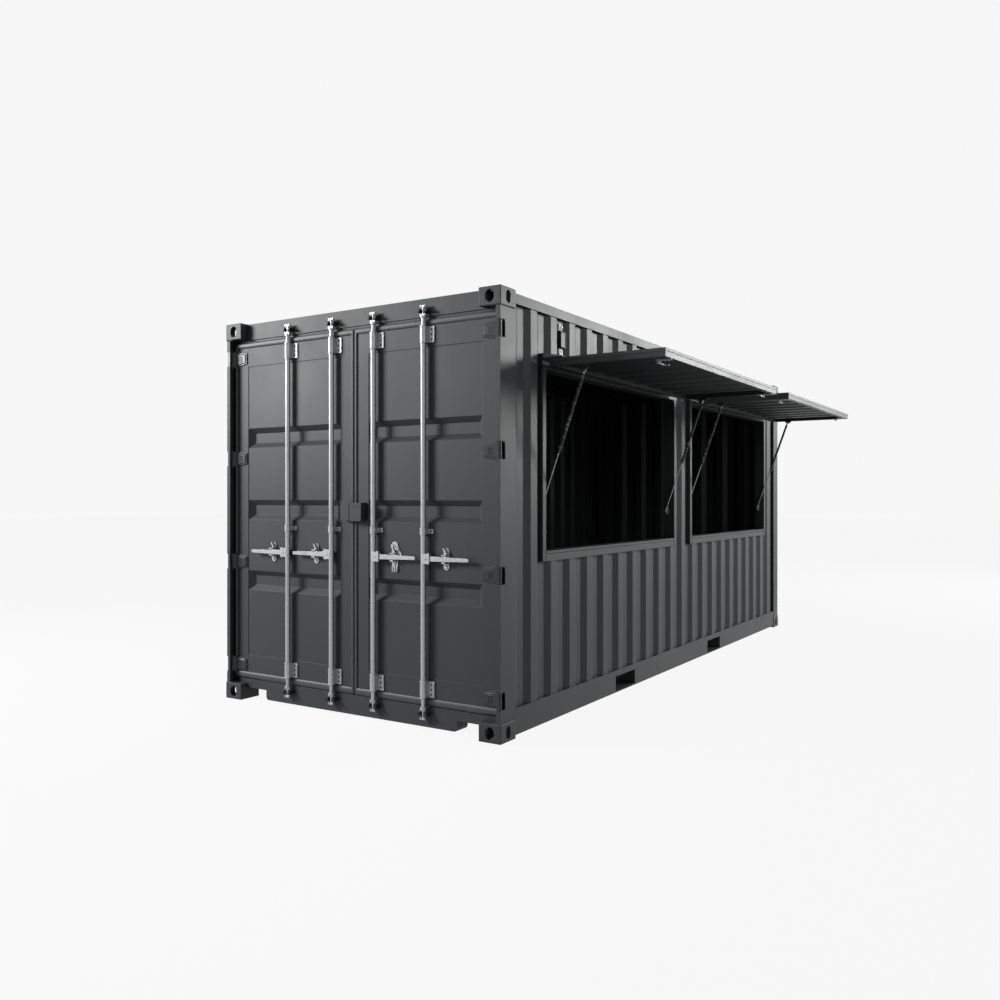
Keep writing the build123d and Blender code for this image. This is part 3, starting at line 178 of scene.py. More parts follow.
# ---------------------------------------------------------------- materials
def paint_material(name, gloss):
    """Satin anthracite paint: orange peel, rain streaks, dust, fine chips and painted shade in the
    corners.

    gloss is the least and the greatest roughness.
    """
    material, shader = new_material(name)
    cloud = noise(material, 1.1, detail=5.0)
    worn = ramp(material, cloud, 0.40, 0.72, end=0.45)
    colour = mixed(material, worn, PAINT, PAINT_WORN)
    streak = noise(material, 9.0, 4.0, roughness=0.6, where=place(material, (1.0, 1.0, 0.06)))
    colour = mixed(material, ramp(material, streak, 0.52, 0.75, end=0.40), colour, PAINT_DUST)
    grain = noise(material, 85.0, detail=3.0)
    colour = mixed(material, ramp(material, grain, 0.60, 0.76, end=0.30), colour, PAINT_DUST)
    chip = noise(material, 38.0, detail=6.0, roughness=0.72)
    colour = mixed(material, ramp(material, chip, 0.735, 0.76, end=0.55), colour, PAINT_CHIP)
    # painted shade: narrow hollows turn nearly black, as if shade fell there
    shade = hollow_shade(material, reach=0.045, low=0.25, high=0.80, most=0.75)
    link(material, mixed(material, shade, colour, PAINT_HOLLOW_SHADE), shader.inputs["Base Color"])
    link(material, ramp(material, cloud, 0.3, 0.7, *gloss), shader.inputs["Roughness"])
    shader.inputs["Specular IOR Level"].default_value = 0.3
    peel = noise(material, 300.0, detail=2.0)
    bump(material, shader, peel, strength=0.22, depth=0.0006, edge=0.003)
    return material


def zinc_material():
    """Hot-dip galvanised steel: fine pale spangle, dull runs and painted shade in the hollows."""
    material, shader = new_material("galvanised")
    spangle = ramp(material, noise(material, 160.0, detail=3.0), 0.35, 0.70)
    colour = mixed(material, spangle, ZINC, ZINC_PALE)
    runs = noise(material, 20.0, 4.0, roughness=0.6, where=place(material, (1.0, 1.0, 0.2)))
    colour = mixed(material, ramp(material, runs, 0.56, 0.74, end=0.6), colour, ZINC_DARK)
    # painted shade: narrow hollows turn nearly black, as if shade fell there
    shade = hollow_shade(material, reach=0.012, low=0.15, high=0.75, most=1.0)
    link(material, mixed(material, shade, colour, ZINC_HOLLOW_SHADE), shader.inputs["Base Color"])
    shader.inputs["Metallic"].default_value = 0.55
    dullness = ramp(material, noise(material, 60.0), 0.3, 0.7, start=0.32, end=0.44)
    link(material, dullness, shader.inputs["Roughness"])
    relief = noise(material, 200.0, detail=2.0)
    bump(material, shader, relief, strength=0.18, depth=0.0004, edge=0.0015)
    return material


def seal_material(name, colour, pale):
    """Rubber seal, slightly chalky, with its edges rounded."""
    material, shader = new_material(name)
    tone = ramp(material, noise(material, 22.0), 0.3, 0.8)
    link(material, mixed(material, tone, colour, pale), shader.inputs["Base Color"])
    shader.inputs["Roughness"].default_value = 0.5
    bump(material, shader, noise(material, 380.0), strength=0.15, depth=0.0004, edge=0.004)
    return material


def cast_material():
    """Dark cast steel, scuffed where the parts meet."""
    material, shader = new_material("dark_casting")
    tone = ramp(material, noise(material, 120.0), 0.55, 0.75)
    link(material, mixed(material, tone, CAST_DARK, PAINT_WORN), shader.inputs["Base Color"])
    shader.inputs["Metallic"].default_value = 0.3
    dullness = ramp(material, noise(material, 160.0), 0.3, 0.7, start=0.30, end=0.5)
    link(material, dullness, shader.inputs["Roughness"])
    bump(material, shader, noise(material, 420.0), strength=0.4, depth=0.0006, edge=0.0015)
    return material


def plywood_material():
    """Sealed plywood floor, its grain along the container."""
    material, shader = new_material("plywood")
    along = place(material, (1.0, 14.0, 14.0))
    grain = noise(material, 3.0, detail=8.0, roughness=0.65, where=along)
    tone = ramp(material, grain, 0.35, 0.68)
    link(material, mixed(material, tone, PLYWOOD_DARK, PLYWOOD), shader.inputs["Base Color"])
    shader.inputs["Roughness"].default_value = 0.55
    bump(material, shader, grain, strength=0.3, depth=0.0006)
    return material


def strut_material():
    """Black gas cylinder with bright flecks of painted highlight."""
    material, shader = new_material("strut_black")
    # painted highlight: a scatter of bright flecks over the black
    tone = ramp(material, noise(material, 55.0, detail=3.0, roughness=0.6), 0.56, 0.60)
    link(material, mixed(material, tone, STRUT_BLACK, STRUT_GLINT), shader.inputs["Base Color"])
    shader.inputs["Roughness"].default_value = 0.45
    shader.inputs["Specular IOR Level"].default_value = 0.25
    bump(material, shader, noise(material, 260.0), strength=0.2, depth=0.0004)
    return material


def rod_material():
    """Polished piston rod."""
    material, shader = new_material("polished_rod")
    tone = ramp(material, noise(material, 60.0), 0.3, 0.7)
    link(material, mixed(material, tone, POLISHED, ZINC_DARK), shader.inputs["Base Color"])
    shader.inputs["Metallic"].default_value = 1.0
    dullness = ramp(material, noise(material, 30.0), 0.3, 0.7, start=0.14, end=0.26)
    link(material, dullness, shader.inputs["Roughness"])
    return material


MATERIALS = {
    "container_paint": paint_material("container_paint", gloss=(0.44, 0.54)),
    "hinge_paint": paint_material("hinge_paint", gloss=(0.26, 0.36)),
    "galvanised": zinc_material(),
    "rubber": seal_material("rubber", SEAL, PAINT_WORN),
    # near-black: filled floor joints and flap seals, also painted shade on the flap tops and round
    # the hinge blades
    "flap_seal_and_shade": seal_material("flap_seal_and_shade", SEAL_AND_SHADE_BLACK, CAST_DARK),
    "dark_casting": cast_material(),
    "plywood": plywood_material(),
    "strut_black": strut_material(),
    "polished_rod": rod_material(),
}
OTHER_FINISH = {
    "cam_keepers": "dark_casting",
    "door_hinges_right": "hinge_paint",
    "door_hinges_left": "hinge_paint",
}


def dress_cad_nodes():
    """Give every CAD node the finish that the record names for it, or the one named above."""
    for part in frame["record"]["subparts"]:
        finish = OTHER_FINISH.get(part["node"], part["material_slot"])
        mesh = NODES[part["node"]].data
        mesh.materials.clear()
        mesh.materials.append(MATERIALS[finish])


# ---------------------------------------------------------------- places, in millimetres
MM = 0.001
OUT, UP, DOWN = (-1, 0, 0), (0, 0, 1), (0, 0, -1)  # OUT is out of the doors
SIDES = {"right": -1, "left": 1}
ENDS = ("front", "rear")
BURIED = 1  # how far a detail reaches into what it sits on

# the container
LOW, HIGH = (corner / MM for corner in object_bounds())
DOOR_X = LOW.x
HEIGHT = HIGH.z
INSET = 6  # of the posts behind the castings' faces
SIDE_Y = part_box("door_posts")[0].y / MM - INSET

# the door leaves, with the recessed sheet's outer, inner, lower and upper edges
LEAF_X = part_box("door_frame_right")[0].x / MM
PANEL_X = LEAF_X + 3
PANEL_EDGES = (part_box("door_frame_right")[0].y / MM + 129, -123, 328, 2472)

# the hinges: blades measured from the side face, with half their height at root and tip
HINGE_HEIGHTS = (256, 1022, 1788, 2533)
PIN_X, PIN_Y = DOOR_X + 20, SIDE_Y + 20
PIN_HALF = 70.5
BLADE_THICK = 8
BLADE_ROOT, BLADE_TIP = 58, 163
HALF_AT_ROOT, HALF_AT_TIP = 54, 37.5

# the lock bars, their guides, cams and handle retainers
BAR_X = JOINTS["bar_right_inner_turn"]["pos_m"][0] / MM
HANDLE_Z = JOINTS["bar_right_inner_turn"]["pos_m"][2] / MM
BAR_NAMES = ("inner", "outer")
BAR_OFFSETS = (188, 608)
END_GUIDES, MIDDLE_GUIDE = (262, 2550), 1281
END_SLEEVE, MIDDLE_SLEEVE = (56, 4), (21.5, 3)  # half height of the sleeve and of its rims
SLEEVE_RADIUS = 22
GUIDE_THICK, GUIDE_HALF = 6, 52
CAM_MIDDLES = (103, 2703)
RETAINER_X = PANEL_X - 6
RETAINER_REACH = 165  # from the bar to the middle of its retainer

# the corner castings
CASTING_SIZE = (178, 162, 118)
CASTING_WALL = 28
CASTING_ROUND = 5
APERTURE = (124, 63.5)
SIDE_HOLE = (51, 79.5)
END_HOLE = (63.5, 79.5)

# the hatches and the vents
HATCH_WIDTH = 2337
FRAME_TUBE = 42
VENT_HALF = 36
VENT_FACE = -SIDE_Y - 12
VENT_PLATE = VENT_FACE - 22

# the flaps and their struts
FLAP_UNDER, FLAP_TOP = 2343, 2393
HINGE_EDGE = SIDE_Y - 77
STRUT_RADIUS = 11
STRUT_HEAD = Vector((0, SIDE_Y - 265, 2320))
STRUT_FOOT = Vector((0, SIDE_Y + 70, 1385))


def limits(node):
    """The low and high corners of a CAD node."""
    return [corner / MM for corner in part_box(node)]


# ---------------------------------------------------------------- shapes
HEXAGON, ROUND = 6, 20
RIVET_SIDES, DOME_RINGS = 14, 4
SLOT_SIDES = 48
WOBBLE_SCALE = 0.11


def join_rings(mesh, first, second):
    """The faces between two rings of as many points, or between a ring and a single point."""
    sides = max(len(first), len(second))
    for step in range(sides):
        after = (step + 1) % sides
        corners = (
            first[step % len(first)],
            first[after % len(first)],
            second[after % len(second)],
            second[step % len(second)],
        )
        mesh.faces.new(list(dict.fromkeys(corners)))


def turn(mesh, middle, axis, profile, sides=ROUND):
    """A turned shape: profile is (radius, distance along the axis) from one end to the other."""
    axis = Vector(axis).normalized()
    across = axis.orthogonal().normalized()
    upright = axis.cross(across)
    rings = []
    for radius, along in profile:
        base = Vector(middle) + axis * along
        if radius == 0:
            rings.append([mesh.verts.new(base * MM)])
            continue
        ring = []
        for step in range(sides):
            angle = 2 * math.pi * (step + 0.5) / sides
            spoke = across * math.cos(angle) + upright * math.sin(angle)
            ring.append(mesh.verts.new((base + spoke * radius) * MM))
        rings.append(ring)
    for first, second in zip(rings, rings[1:]):
        join_rings(mesh, first, second)
    for ring in (rings[0], rings[-1]):
        if len(ring) > 1 and profile[0] != profile[-1]:
            mesh.faces.new(ring)


def bolt(mesh, seat, axis, radius, proud):
    """A hexagon head with a chamfered top on a round washer, its underside at seat."""
    washer, rim = proud * 0.25, radius * 1.35
    turn(mesh, seat, axis, ((rim, -BURIED), (rim, washer * 0.7), (radius * 1.25, washer)))
    top = ((radius, 0), (radius, proud * 0.85), (radius * 0.86, proud), (0, proud))
    turn(mesh, seat, axis, top, HEXAGON)


def rivet(mesh, seat, axis, radius, proud):
    """A domed head, its underside at seat."""
    dome = []
    for step in range(DOME_RINGS):
        angle = step * math.pi / (2 * DOME_RINGS)
        dome.append((radius * math.cos(angle), proud * math.sin(angle)))
    turn(mesh, seat, axis, ((radius, -BURIED), *dome, (0, proud)), RIVET_SIDES)


def collar(mesh, middle, axis, inner, outer, half, edge=1.0):
    """A ring with chamfered edges, open in the middle."""
    section = (
        (inner, -half),
        (outer - edge, -half),
        (outer, -half + edge),
        (outer, half - edge),
        (outer - edge, half),
        (inner, half),
        (inner, -half),
    )
    turn(mesh, middle, axis, section)


def across_x(middle, corners):
    """An outline square to X, its corners given as (along Y, up) from middle."""
    x, y, z = middle
    return [(x, y + along, z + up) for along, up in corners]


def prism(mesh, points, lift, edge=1.0):
    """A plate with the flat outline points, raised by the vector lift, its top chamfered."""
    points = [Vector(point) for point in points]
    lift = Vector(lift)
    centre = sum(points, Vector()) / len(points)
    rise = 1 - min(edge / lift.length, 0.9)

    def inward(point):
        away = point - centre
        return point - away.normalized() * min(edge * 1.4, away.length * 0.4)

    rings = [
        [mesh.verts.new(point * MM) for point in points],
        [mesh.verts.new((point + lift * rise) * MM) for point in points],
        [mesh.verts.new((inward(point) + lift) * MM) for point in points],
    ]
    for first, second in zip(rings, rings[1:]):
        join_rings(mesh, first, second)
    mesh.faces.new(rings[0])
    mesh.faces.new(rings[-1])


def rib(mesh, low, high, edge=1.0):
    """A bar between two corners, its outward (-X) edges chamfered."""
    (x0, y0, z0), (x1, y1, z1) = low, high
    prism(mesh, ((x1, y0, z0), (x1, y1, z0), (x1, y1, z1), (x1, y0, z1)), (x0 - x1, 0, 0), edge)


def bead(mesh, path, radius, ripple=0.14, step=7.0):
    """A rippled weld bead of the given radius along straight runs."""
    for start, end in zip(path, path[1:]):
        start, end = Vector(start), Vector(end)
        run = end - start
        count = max(2, int(run.length / step))
        profile = []
        for index in range(count + 1):
            along = run.length * index / count
            wobble = value_noise.noise((start + run * index / count) * WOBBLE_SCALE)
            swell = ripple * (0.6 * (-1) ** index + 0.8 * wobble)
            profile.append((radius * (1 + swell), along))
        turn(mesh, start, run, profile, HEXAGON)


def as_object(name, mesh):
    """An object made from mesh, which is used up."""
    bmesh.ops.recalc_face_normals(mesh, faces=mesh.faces)
    data = bpy.data.meshes.new(name)
    mesh.to_mesh(data)
    mesh.free()
    thing = bpy.data.objects.new(name, data)
    bpy.context.scene.collection.objects.link(thing)
    return thing


def piece(name, body, finish, slot, build, *where):
    """An object of the given finish, built by build(mesh, *where), that rides on a CAD body."""
    mesh = bmesh.new()
    build(mesh, *where)
    thing = as_object(name, mesh)
    thing.data.materials.append(MATERIALS[finish])
    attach(thing, body)
    return thing


# ---------------------------------------------------------------- door gear
def sleeve_rims(mesh, side):
    """Rolled rims at both ends of every bar guide's sleeve."""
    sleeves = [(middle, *END_SLEEVE) for middle in END_GUIDES]
    sleeves.append((MIDDLE_GUIDE, *MIDDLE_SLEEVE))
    for offset in BAR_OFFSETS:
        for middle, half, rim in sleeves:
            for way in (-1, 1):
                end = (BAR_X, side * offset, middle + way * (half - rim))
                collar(mesh, end, UP, SLEEVE_RADIUS - 1, SLEEVE_RADIUS + 2, rim)


def guide_rims(mesh, side):
    """Raised rims round the fixing plates of the end guides."""
    back = LEAF_X - GUIDE_THICK + BURIED
    front = LEAF_X - GUIDE_THICK - 2
    rim = 5
    for offset in BAR_OFFSETS:
        outer = side * offset - SLEEVE_RADIUS - 49
        inner = side * offset - SLEEVE_RADIUS - 2
        for middle in END_GUIDES:
            low, high = middle - GUIDE_HALF, middle + GUIDE_HALF
            for z0, z1 in ((low, low + rim), (high - rim, high)):
                rib(mesh, (front, outer, z0), (back, inner, z1))
            rib(mesh, (front, outer, low + rim), (back, outer + rim, high - rim))


def guide_rivets(mesh, side):
    """Three rivets in a row on each end guide, one on each middle guide, and the sleeve pins."""
    for offset in BAR_OFFSETS:
        y = side * offset
        for middle in END_GUIDES:
            for rise in (-32, 0, 32):
                seat = (LEAF_X - GUIDE_THICK, y - SLEEVE_RADIUS - 26, middle + rise)
                rivet(mesh, seat, OUT, radius=7, proud=4)
            for rise in (-42, 42):
                rivet(mesh, (BAR_X - 17, y + 13, middle + rise), OUT, radius=4.5, proud=4)
        seat = (PANEL_X - GUIDE_THICK, y - SLEEVE_RADIUS - 22, MIDDLE_GUIDE)
        rivet(mesh, seat, OUT, radius=7.5, proud=4)


def retainer_bolts(mesh, side):
    """The bolts of the handle retainers."""
    for offset in BAR_OFFSETS:
        for rise in (-52, 52):
            seat = (RETAINER_X, side * (offset + RETAINER_REACH), HANDLE_Z + rise)
            bolt(mesh, seat, OUT, radius=8, proud=7)


def retainer_catches(mesh, side):
    """The slanting finger over the handle's resting place, and the ledge under it."""
    finger = ((-17, 28), (-5, 27), (19, 66), (10, 72))
    ledge = ((-20, -29), (20, -29), (12, -40), (-12, -40))
    for offset in BAR_OFFSETS:
        middle = (RETAINER_X + BURIED, side * (offset + RETAINER_REACH), HANDLE_Z)
        prism(mesh, across_x(middle, finger), lift=(-19, 0, 0), edge=2)
        prism(mesh, across_x(middle, ledge), lift=(-12, 0, 0), edge=2)


def large_retainer_teeth(mesh):
    """The toothed lower edge and the riveted cross tab of the large retainer."""
    y = -(BAR_OFFSETS[0] + RETAINER_REACH)
    tooth = ((-6, -62), (6, -62), (4, -100), (-4, -100))
    for shift in (-17, 0, 17):
        middle = (PANEL_X + BURIED, y + shift, HANDLE_Z)
        prism(mesh, across_x(middle, tooth), lift=(-13, 0, 0), edge=2)
    tab = ((-40, 50), (-28, 38), (30, 74), (22, 88))
    back, thick = RETAINER_X + BURIED, 9
    prism(mesh, across_x((back, y, HANDLE_Z), tab), lift=(-thick, 0, 0), edge=2)
    for shift, rise in ((-16, 52), (12, 72)):
        seat = (back - thick, y + shift, HANDLE_Z + rise)
        rivet(mesh, seat, OUT, radius=6, proud=4)


def bar_bolts(mesh, side, offset):
    """The bolts of one bar's hub and cams, and the pin its handle turns on."""
    y = side * offset
    front = BAR_X - 9
    rivet(mesh, (BAR_X - 18, y + side * 29, HANDLE_Z), OUT, radius=8, proud=5)
    pin = ((6, -37), (8, -35), (8, 35), (6, 37))
    turn(mesh, (front, y + side * 47, HANDLE_Z), UP, pin, sides=16)
    for middle in CAM_MIDDLES:
        for rise in (-28, 28):
            for shift in (-13, 13):
                bolt(mesh, (front, y + shift, middle + rise), OUT, radius=4.2, proud=4)


def keeper_faces(mesh):
    """The turned faces of the cam keepers."""
    face = DOOR_X + 14
    profile = ((13, -2), (13, 1), (11.5, 2.5), (9, 2.5), (8, 0.8), (5.5, 0.8), (5, 3.2), (0, 3.6))
    for side in SIDES.values():
        for offset in BAR_OFFSETS:
            for shift in (-27, 27):
                for middle in CAM_MIDDLES:
                    turn(mesh, (face, side * offset + shift, middle), OUT, profile)


def half_blade(reach):
    """Half the height of a hinge blade at its reach from the side face: it tapers to its tip."""
    taper = min(max((reach - BLADE_ROOT) / (BLADE_TIP - BLADE_ROOT), 0), 1)
    return HALF_AT_ROOT - (HALF_AT_ROOT - HALF_AT_TIP) * taper


def hinge_pads(mesh, side):
    """The raised, bevelled pad on each hinge blade, with three short ridges."""

    def plate(back, z, reaches, margin, lift, edge):
        lower = [(reach, -1) for reach in reaches]
        upper = [(reach, 1) for reach in reversed(reaches)]
        points = [
            (back, side * -(SIDE_Y + reach), z + way * (half_blade(reach) - margin))
            for reach, way in lower + upper
        ]
        prism(mesh, points, (-lift, 0, 0), edge)

    face = LEAF_X - BLADE_THICK
    for z in HINGE_HEIGHTS:
        plate(face + BURIED, z, (62, 80, 120, 146, 156), margin=7, lift=6, edge=4.5)
        for near in (94, 106, 118):
            plate(face - 4, z, (near, near + 4), margin=21, lift=3, edge=1.5)


def hinge_shade_outline(mesh, side):
    """A black bead of painted shade round each hinge blade, outlining it."""
    x, spread = LEAF_X - 1, 1.02
    corners = (
        (BLADE_ROOT + 4, -HALF_AT_ROOT),
        (BLADE_TIP, -HALF_AT_TIP),
        (BLADE_TIP, HALF_AT_TIP),
        (BLADE_ROOT + 4, HALF_AT_ROOT),
    )
    for z in HINGE_HEIGHTS:
        path = [(x, side * -(SIDE_Y + reach), z + rise * spread) for reach, rise in corners]
        bead(mesh, path, radius=4, ripple=0.05)


def pin_heads(mesh):
    """The heads and lower nuts of the hinge pins."""
    head = ((11, -BURIED), (11, 3), (9, 5.5), (0, 6))
    for side in SIDES.values():
        for z in HINGE_HEIGHTS:
            turn(mesh, (PIN_X, -side * PIN_Y, z + PIN_HALF), UP, head)
            bolt(mesh, (PIN_X, -side * PIN_Y, z - PIN_HALF), DOWN, radius=9, proud=6)


def panel_welds(mesh, side):
    """The weld round the recessed sheet of a leaf."""
    outer, inner, bottom, top = PANEL_EDGES
    corners = ((outer, bottom), (inner, bottom), (inner, top), (outer, top), (outer, bottom))
    bead(mesh, [(PANEL_X - 0.6, -side * y, z) for y, z in corners], radius=2.6)


def box_lip(mesh):
    """The rolled lip under the padlock box and its two rivets."""
    front, depth = DOOR_X + 4, 34
    outer, inner = -103, -6
    bottom, top, rivet_z = 1339, 1346, 1440
    rib(mesh, (front - BURIED, outer, bottom), (front + depth, inner, top), edge=2)
    for y in (-84, -40):
        rivet(mesh, (front, y, rivet_z), OUT, radius=5, proud=3)


def box_rivets(mesh):
    """The rivets of the padlock box's plate on the other leaf."""
    face, y = LEAF_X - 4, 128
    for z in (1344, 1464):
        rivet(mesh, (face, y, z), OUT, radius=6, proud=4)


# ---------------------------------------------------------------- corner castings
def solid_box(low, high, bevel=0):
    """A box as a mesh, with its edges rounded by bevel."""
    mesh = bmesh.new()
    bmesh.ops.create_cube(mesh, size=1)
    for vertex in mesh.verts:
        vertex.co = [(a + b) / 2 + c * (b - a) for a, b, c in zip(low, high, vertex.co)]
    if bevel:
        bmesh.ops.bevel(
            mesh, geom=mesh.edges, offset=bevel, segments=3, profile=0.5, affect="EDGES"
        )
    return mesh


def slot_cutter(middle, axis, size, depth):
    """A round-ended slot of the given width and height, as a solid along an axis."""
    across, upright = {0: (1, 2), 1: (0, 2), 2: (0, 1)}[axis]
    width, height = size
    radius = min(size) / 2
    straight = max(size) / 2 - radius
    mesh = bmesh.new()
    ends = []
    for way in (-1, 1):
        ring = []
        for step in range(SLOT_SIDES):
            angle = 2 * math.pi * (step + 0.5) / SLOT_SIDES
            a, b = radius * math.cos(angle), radius * math.sin(angle)
            if width > height:
                a += math.copysign(straight, a)
            else:
                b += math.copysign(straight, b)
            point = list(middle)
            point[axis] += way * depth / 2
            point[across] += a
            point[upright] += b
            ring.append(mesh.verts.new(point))
        ends.append(ring)
    join_rings(mesh, *ends)
    mesh.faces.new(ends[0])
    mesh.faces.new(ends[1])
    return mesh


def cast_corner(base, up):
    """One hollow casting at the door end on the hatch side, its lower face at height base."""
    low = (DOOR_X, SIDE_Y, base)
    high = [start + size for start, size in zip(low, CASTING_SIZE)]
    middle = [(a + b) / 2 for a, b in zip(low, high)]
    thin, through = CASTING_WALL / 2, 2 * CASTING_WALL + 8
    open_face = high[2] if up else base
    hollow_low = [start + CASTING_WALL for start in low[:2]] + [base + thin]
    cutters = (
        solid_box(hollow_low, [end - thin for end in high]),
        slot_cutter((middle[0], middle[1], open_face), 2, APERTURE, through),
        slot_cutter((middle[0], low[1], middle[2]), 1, SIDE_HOLE, through),
        slot_cutter((low[0], middle[1], middle[2]), 0, END_HOLE, through),
    )
    corner = as_object("corner", solid_box(low, high, CASTING_ROUND))
    tools = [as_object("cutter", cutter) for cutter in cutters]
    for tool in tools:
        cut = corner.modifiers.new("cut", "BOOLEAN")
        cut.operation = "DIFFERENCE"
        cut.solver = "EXACT"
        cut.object = tool
    graph = bpy.context.evaluated_depsgraph_get()
    data = bpy.data.meshes.new_from_object(corner.evaluated_get(graph))
    for thing in (corner, *tools):
        bpy.data.objects.remove(thing)
    return data


def cast_corners(mesh, base, up):
    """The four castings of the bottom or the top, with their end and side holes upright."""
    data = cast_corner(base, up)
    for x in (1, -1):
        for y in (1, -1):
            start = len(mesh.verts)
            mesh.from_mesh(data)
            mesh.verts.ensure_lookup_table()
            for vertex in mesh.verts[start:]:
                vertex.co = Vector((vertex.co.x * x, vertex.co.y * y, vertex.co.z)) * MM


# ---------------------------------------------------------------- body
def casting_welds(mesh):
    """Welds where the corner castings meet the posts."""
    height = CASTING_SIZE[2]
    end_run, side_run = 62, 156
    for z in (height, HEIGHT - height):
        for side in (-1, 1):
            y = side * (-SIDE_Y - INSET)
            for x, way in ((DOOR_X + INSET, 1), (-DOOR_X - INSET, -1)):
                path = ((x, y - side * end_run, z), (x, y, z), (x + way * side_run, y, z))
                bead(mesh, path, radius=4.5)


def rail_gussets(mesh):
    """The plates that cover the gaps between the bottom rails and the rear posts."""
    near, far = -DOOR_X - 179, -DOOR_X - 164
    bottom, top = 117, 190
    back, thick = -SIDE_Y - 16, 5
    outline = ((near, bottom), (far, bottom), (far, top), (near, top))
    for side in SIDES.values():
        points = [(x, side * back, z) for x, z in outline]
        prism(mesh, points, lift=(0, side * thick, 0))


def hatch_spans():
    """Where each hatch frame begins and ends along the wall."""
    low, high = (corner.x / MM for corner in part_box("hatch_sills"))
    start, end = low - FRAME_TUBE, high + FRAME_TUBE
    return ((start, start + HATCH_WIDTH), (end - HATCH_WIDTH, end))


def frame_welds(mesh):
    """Welds at the lower corners of the hatch frames and beside the frames."""
    face, wall = SIDE_Y + 2, SIDE_Y + 11
    sill_low, sill_high, jamb_top = 1080, 1121, 2340
    for start, end in hatch_spans():
        for near, way in ((start, 1), (end, -1)):
            joint = near + way * FRAME_TUBE
            bead(mesh, ((joint, face, sill_low), (joint, face, sill_high)), radius=2.5)
            bead(mesh, ((near, wall, sill_low + 4), (near, wall, jamb_top)), radius=3)


def hood_ends(mesh):
    """The galvanised end plates of the hoods over both hatches; their bright zinc is also painted
    light, as these ends lie in the container's shadow.
    """
    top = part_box("hatch_heads")[1].z / MM
    bottom, thick = 2413, 4
    inner, outer = SIDE_Y + 1, SIDE_Y - 134
    outline = ((inner, top - 2), (outer, bottom + 4), (outer, bottom), (inner, bottom))
    for start, end in hatch_spans():
        for x, way in ((start, -1), (end, 1)):
            prism(mesh, [(x - way, y, z) for y, z in outline], lift=(way * thick, 0, 0))


def floor_joints(mesh):
    """The filled joints between the plywood boards."""
    low, high = limits("floor_board")
    boards, half, margin, thick = 5, 3, 2, 1.6
    south, north = low.y + margin, high.y - margin
    for index in range(1, boards):
        x = low.x + (high.x - low.x) * index / boards
        corners = ((x - half, south), (x + half, south), (x + half, north), (x - half, north))
        prism(mesh, [(a, b, high.z - BURIED) for a, b in corners], lift=(0, 0, thick), edge=0.5)


def vent_places():
    """Each vent's middle along X, its side, and the height of its middle."""
    low, high = limits("vents")
    for x in (low.x + VENT_HALF, high.x - VENT_HALF):
        for side in (-1, 1):
            yield x, side, (low.z + high.z) / 2


def vent_rims(mesh):
    """The folded rim round the face of each vent, and the hood over it."""
    wide, tall = 35, 52
    inner_wide, inner_tall = 30, 46
    strips = (
        (-wide, wide, inner_tall, tall),
        (-wide, wide, -tall, -inner_tall),
        (-wide, -inner_wide, -inner_tall, inner_tall),
        (inner_wide, wide, -inner_tall, inner_tall),
    )
    hood = ((-27, 54), (27, 54), (27, 66), (-27, 66))
    for x, side, middle in vent_places():
        base = side * (VENT_FACE - BURIED)
        for left, right, bottom, top in strips:
            corners = ((left, bottom), (right, bottom), (right, top), (left, top))
            points = [(x + a, base, middle + b) for a, b in corners]
            prism(mesh, points, lift=(0, side * 4, 0), edge=1.5)
        points = [(x + a, side * VENT_PLATE, middle + b) for a, b in hood]
        prism(mesh, points, lift=(0, side * 16, -8), edge=2)


def vent_bolts(mesh):
    """The bolts of the vent's fixing plate."""
    for x, side, middle in vent_places():
        for rise in (-94, -72, 94):
            for shift in (-14, 14):
                seat = (x + shift, side * VENT_PLATE, middle + rise)
                bolt(mesh, seat, (0, side, 0), radius=7, proud=6)


# ---------------------------------------------------------------- flaps
def flap_seal_and_shade(mesh, end):
    """The black strip round the top of the flap, along its three free edges: a seal strip, and
    painted shade for the gap over the flap.
    """
    low, high = limits(f"flap_frame_{end}")
    base, over, lap, back = FLAP_TOP - 16, 3, 5, HINGE_EDGE
    outer = (
        (low.x - over, back),
        (low.x - over, low.y - over),
        (high.x + over, low.y - over),
        (high.x + over, back),
    )
    inner = (
        (low.x + lap, back),
        (low.x + lap, low.y + lap),
        (high.x - lap, low.y + lap),
        (high.x - lap, back),
    )
    for step in range(3):
        strip = (outer[step], outer[step + 1], inner[step + 1], inner[step])
        prism(mesh, [(x, y, base) for x, y in strip], lift=(0, 0, 19), edge=1.5)


def latch_details(mesh, end):
    """The turned knobs and plate bolts of the flap's latches."""
    low, high = limits(f"flap_latches_{end}")
    y = limits(f"flap_frame_{end}")[0].y + 96
    inset, knob_drop, plate_thick = 30, 20, 4
    knob = ((13.5, 6), (16.5, 5), (17, 2), (15, -1), (11, -3), (6, -3.6), (0, -4))
    for x in (low.x + inset, high.x - inset):
        turn(mesh, (x, y, FLAP_UNDER - knob_drop), UP, knob, sides=24)
        for back in (-40, -66):
            bolt(mesh, (x, y + back, FLAP_UNDER - plate_thick), DOWN, radius=7, proud=6)


def strut_places(end):
    """The two places along X of a flap's struts."""
    low, high = limits(f"strut_cylinders_{end}")
    return low.x + STRUT_RADIUS, high.x - STRUT_RADIUS


def cylinder_caps(mesh, end):
    """The crimped ends of the gas cylinders and the collars under their upper balls."""
    down = (STRUT_FOOT - STRUT_HEAD).normalized()
    upper, lower = 34, 552
    for x in strut_places(end):
        head = Vector((x, STRUT_HEAD.y, STRUT_HEAD.z))
        collar(mesh, head + down * lower, down, inner=6, outer=12, half=7, edge=2)
        collar(mesh, head + down * upper, down, inner=5, outer=12, half=5, edge=2)


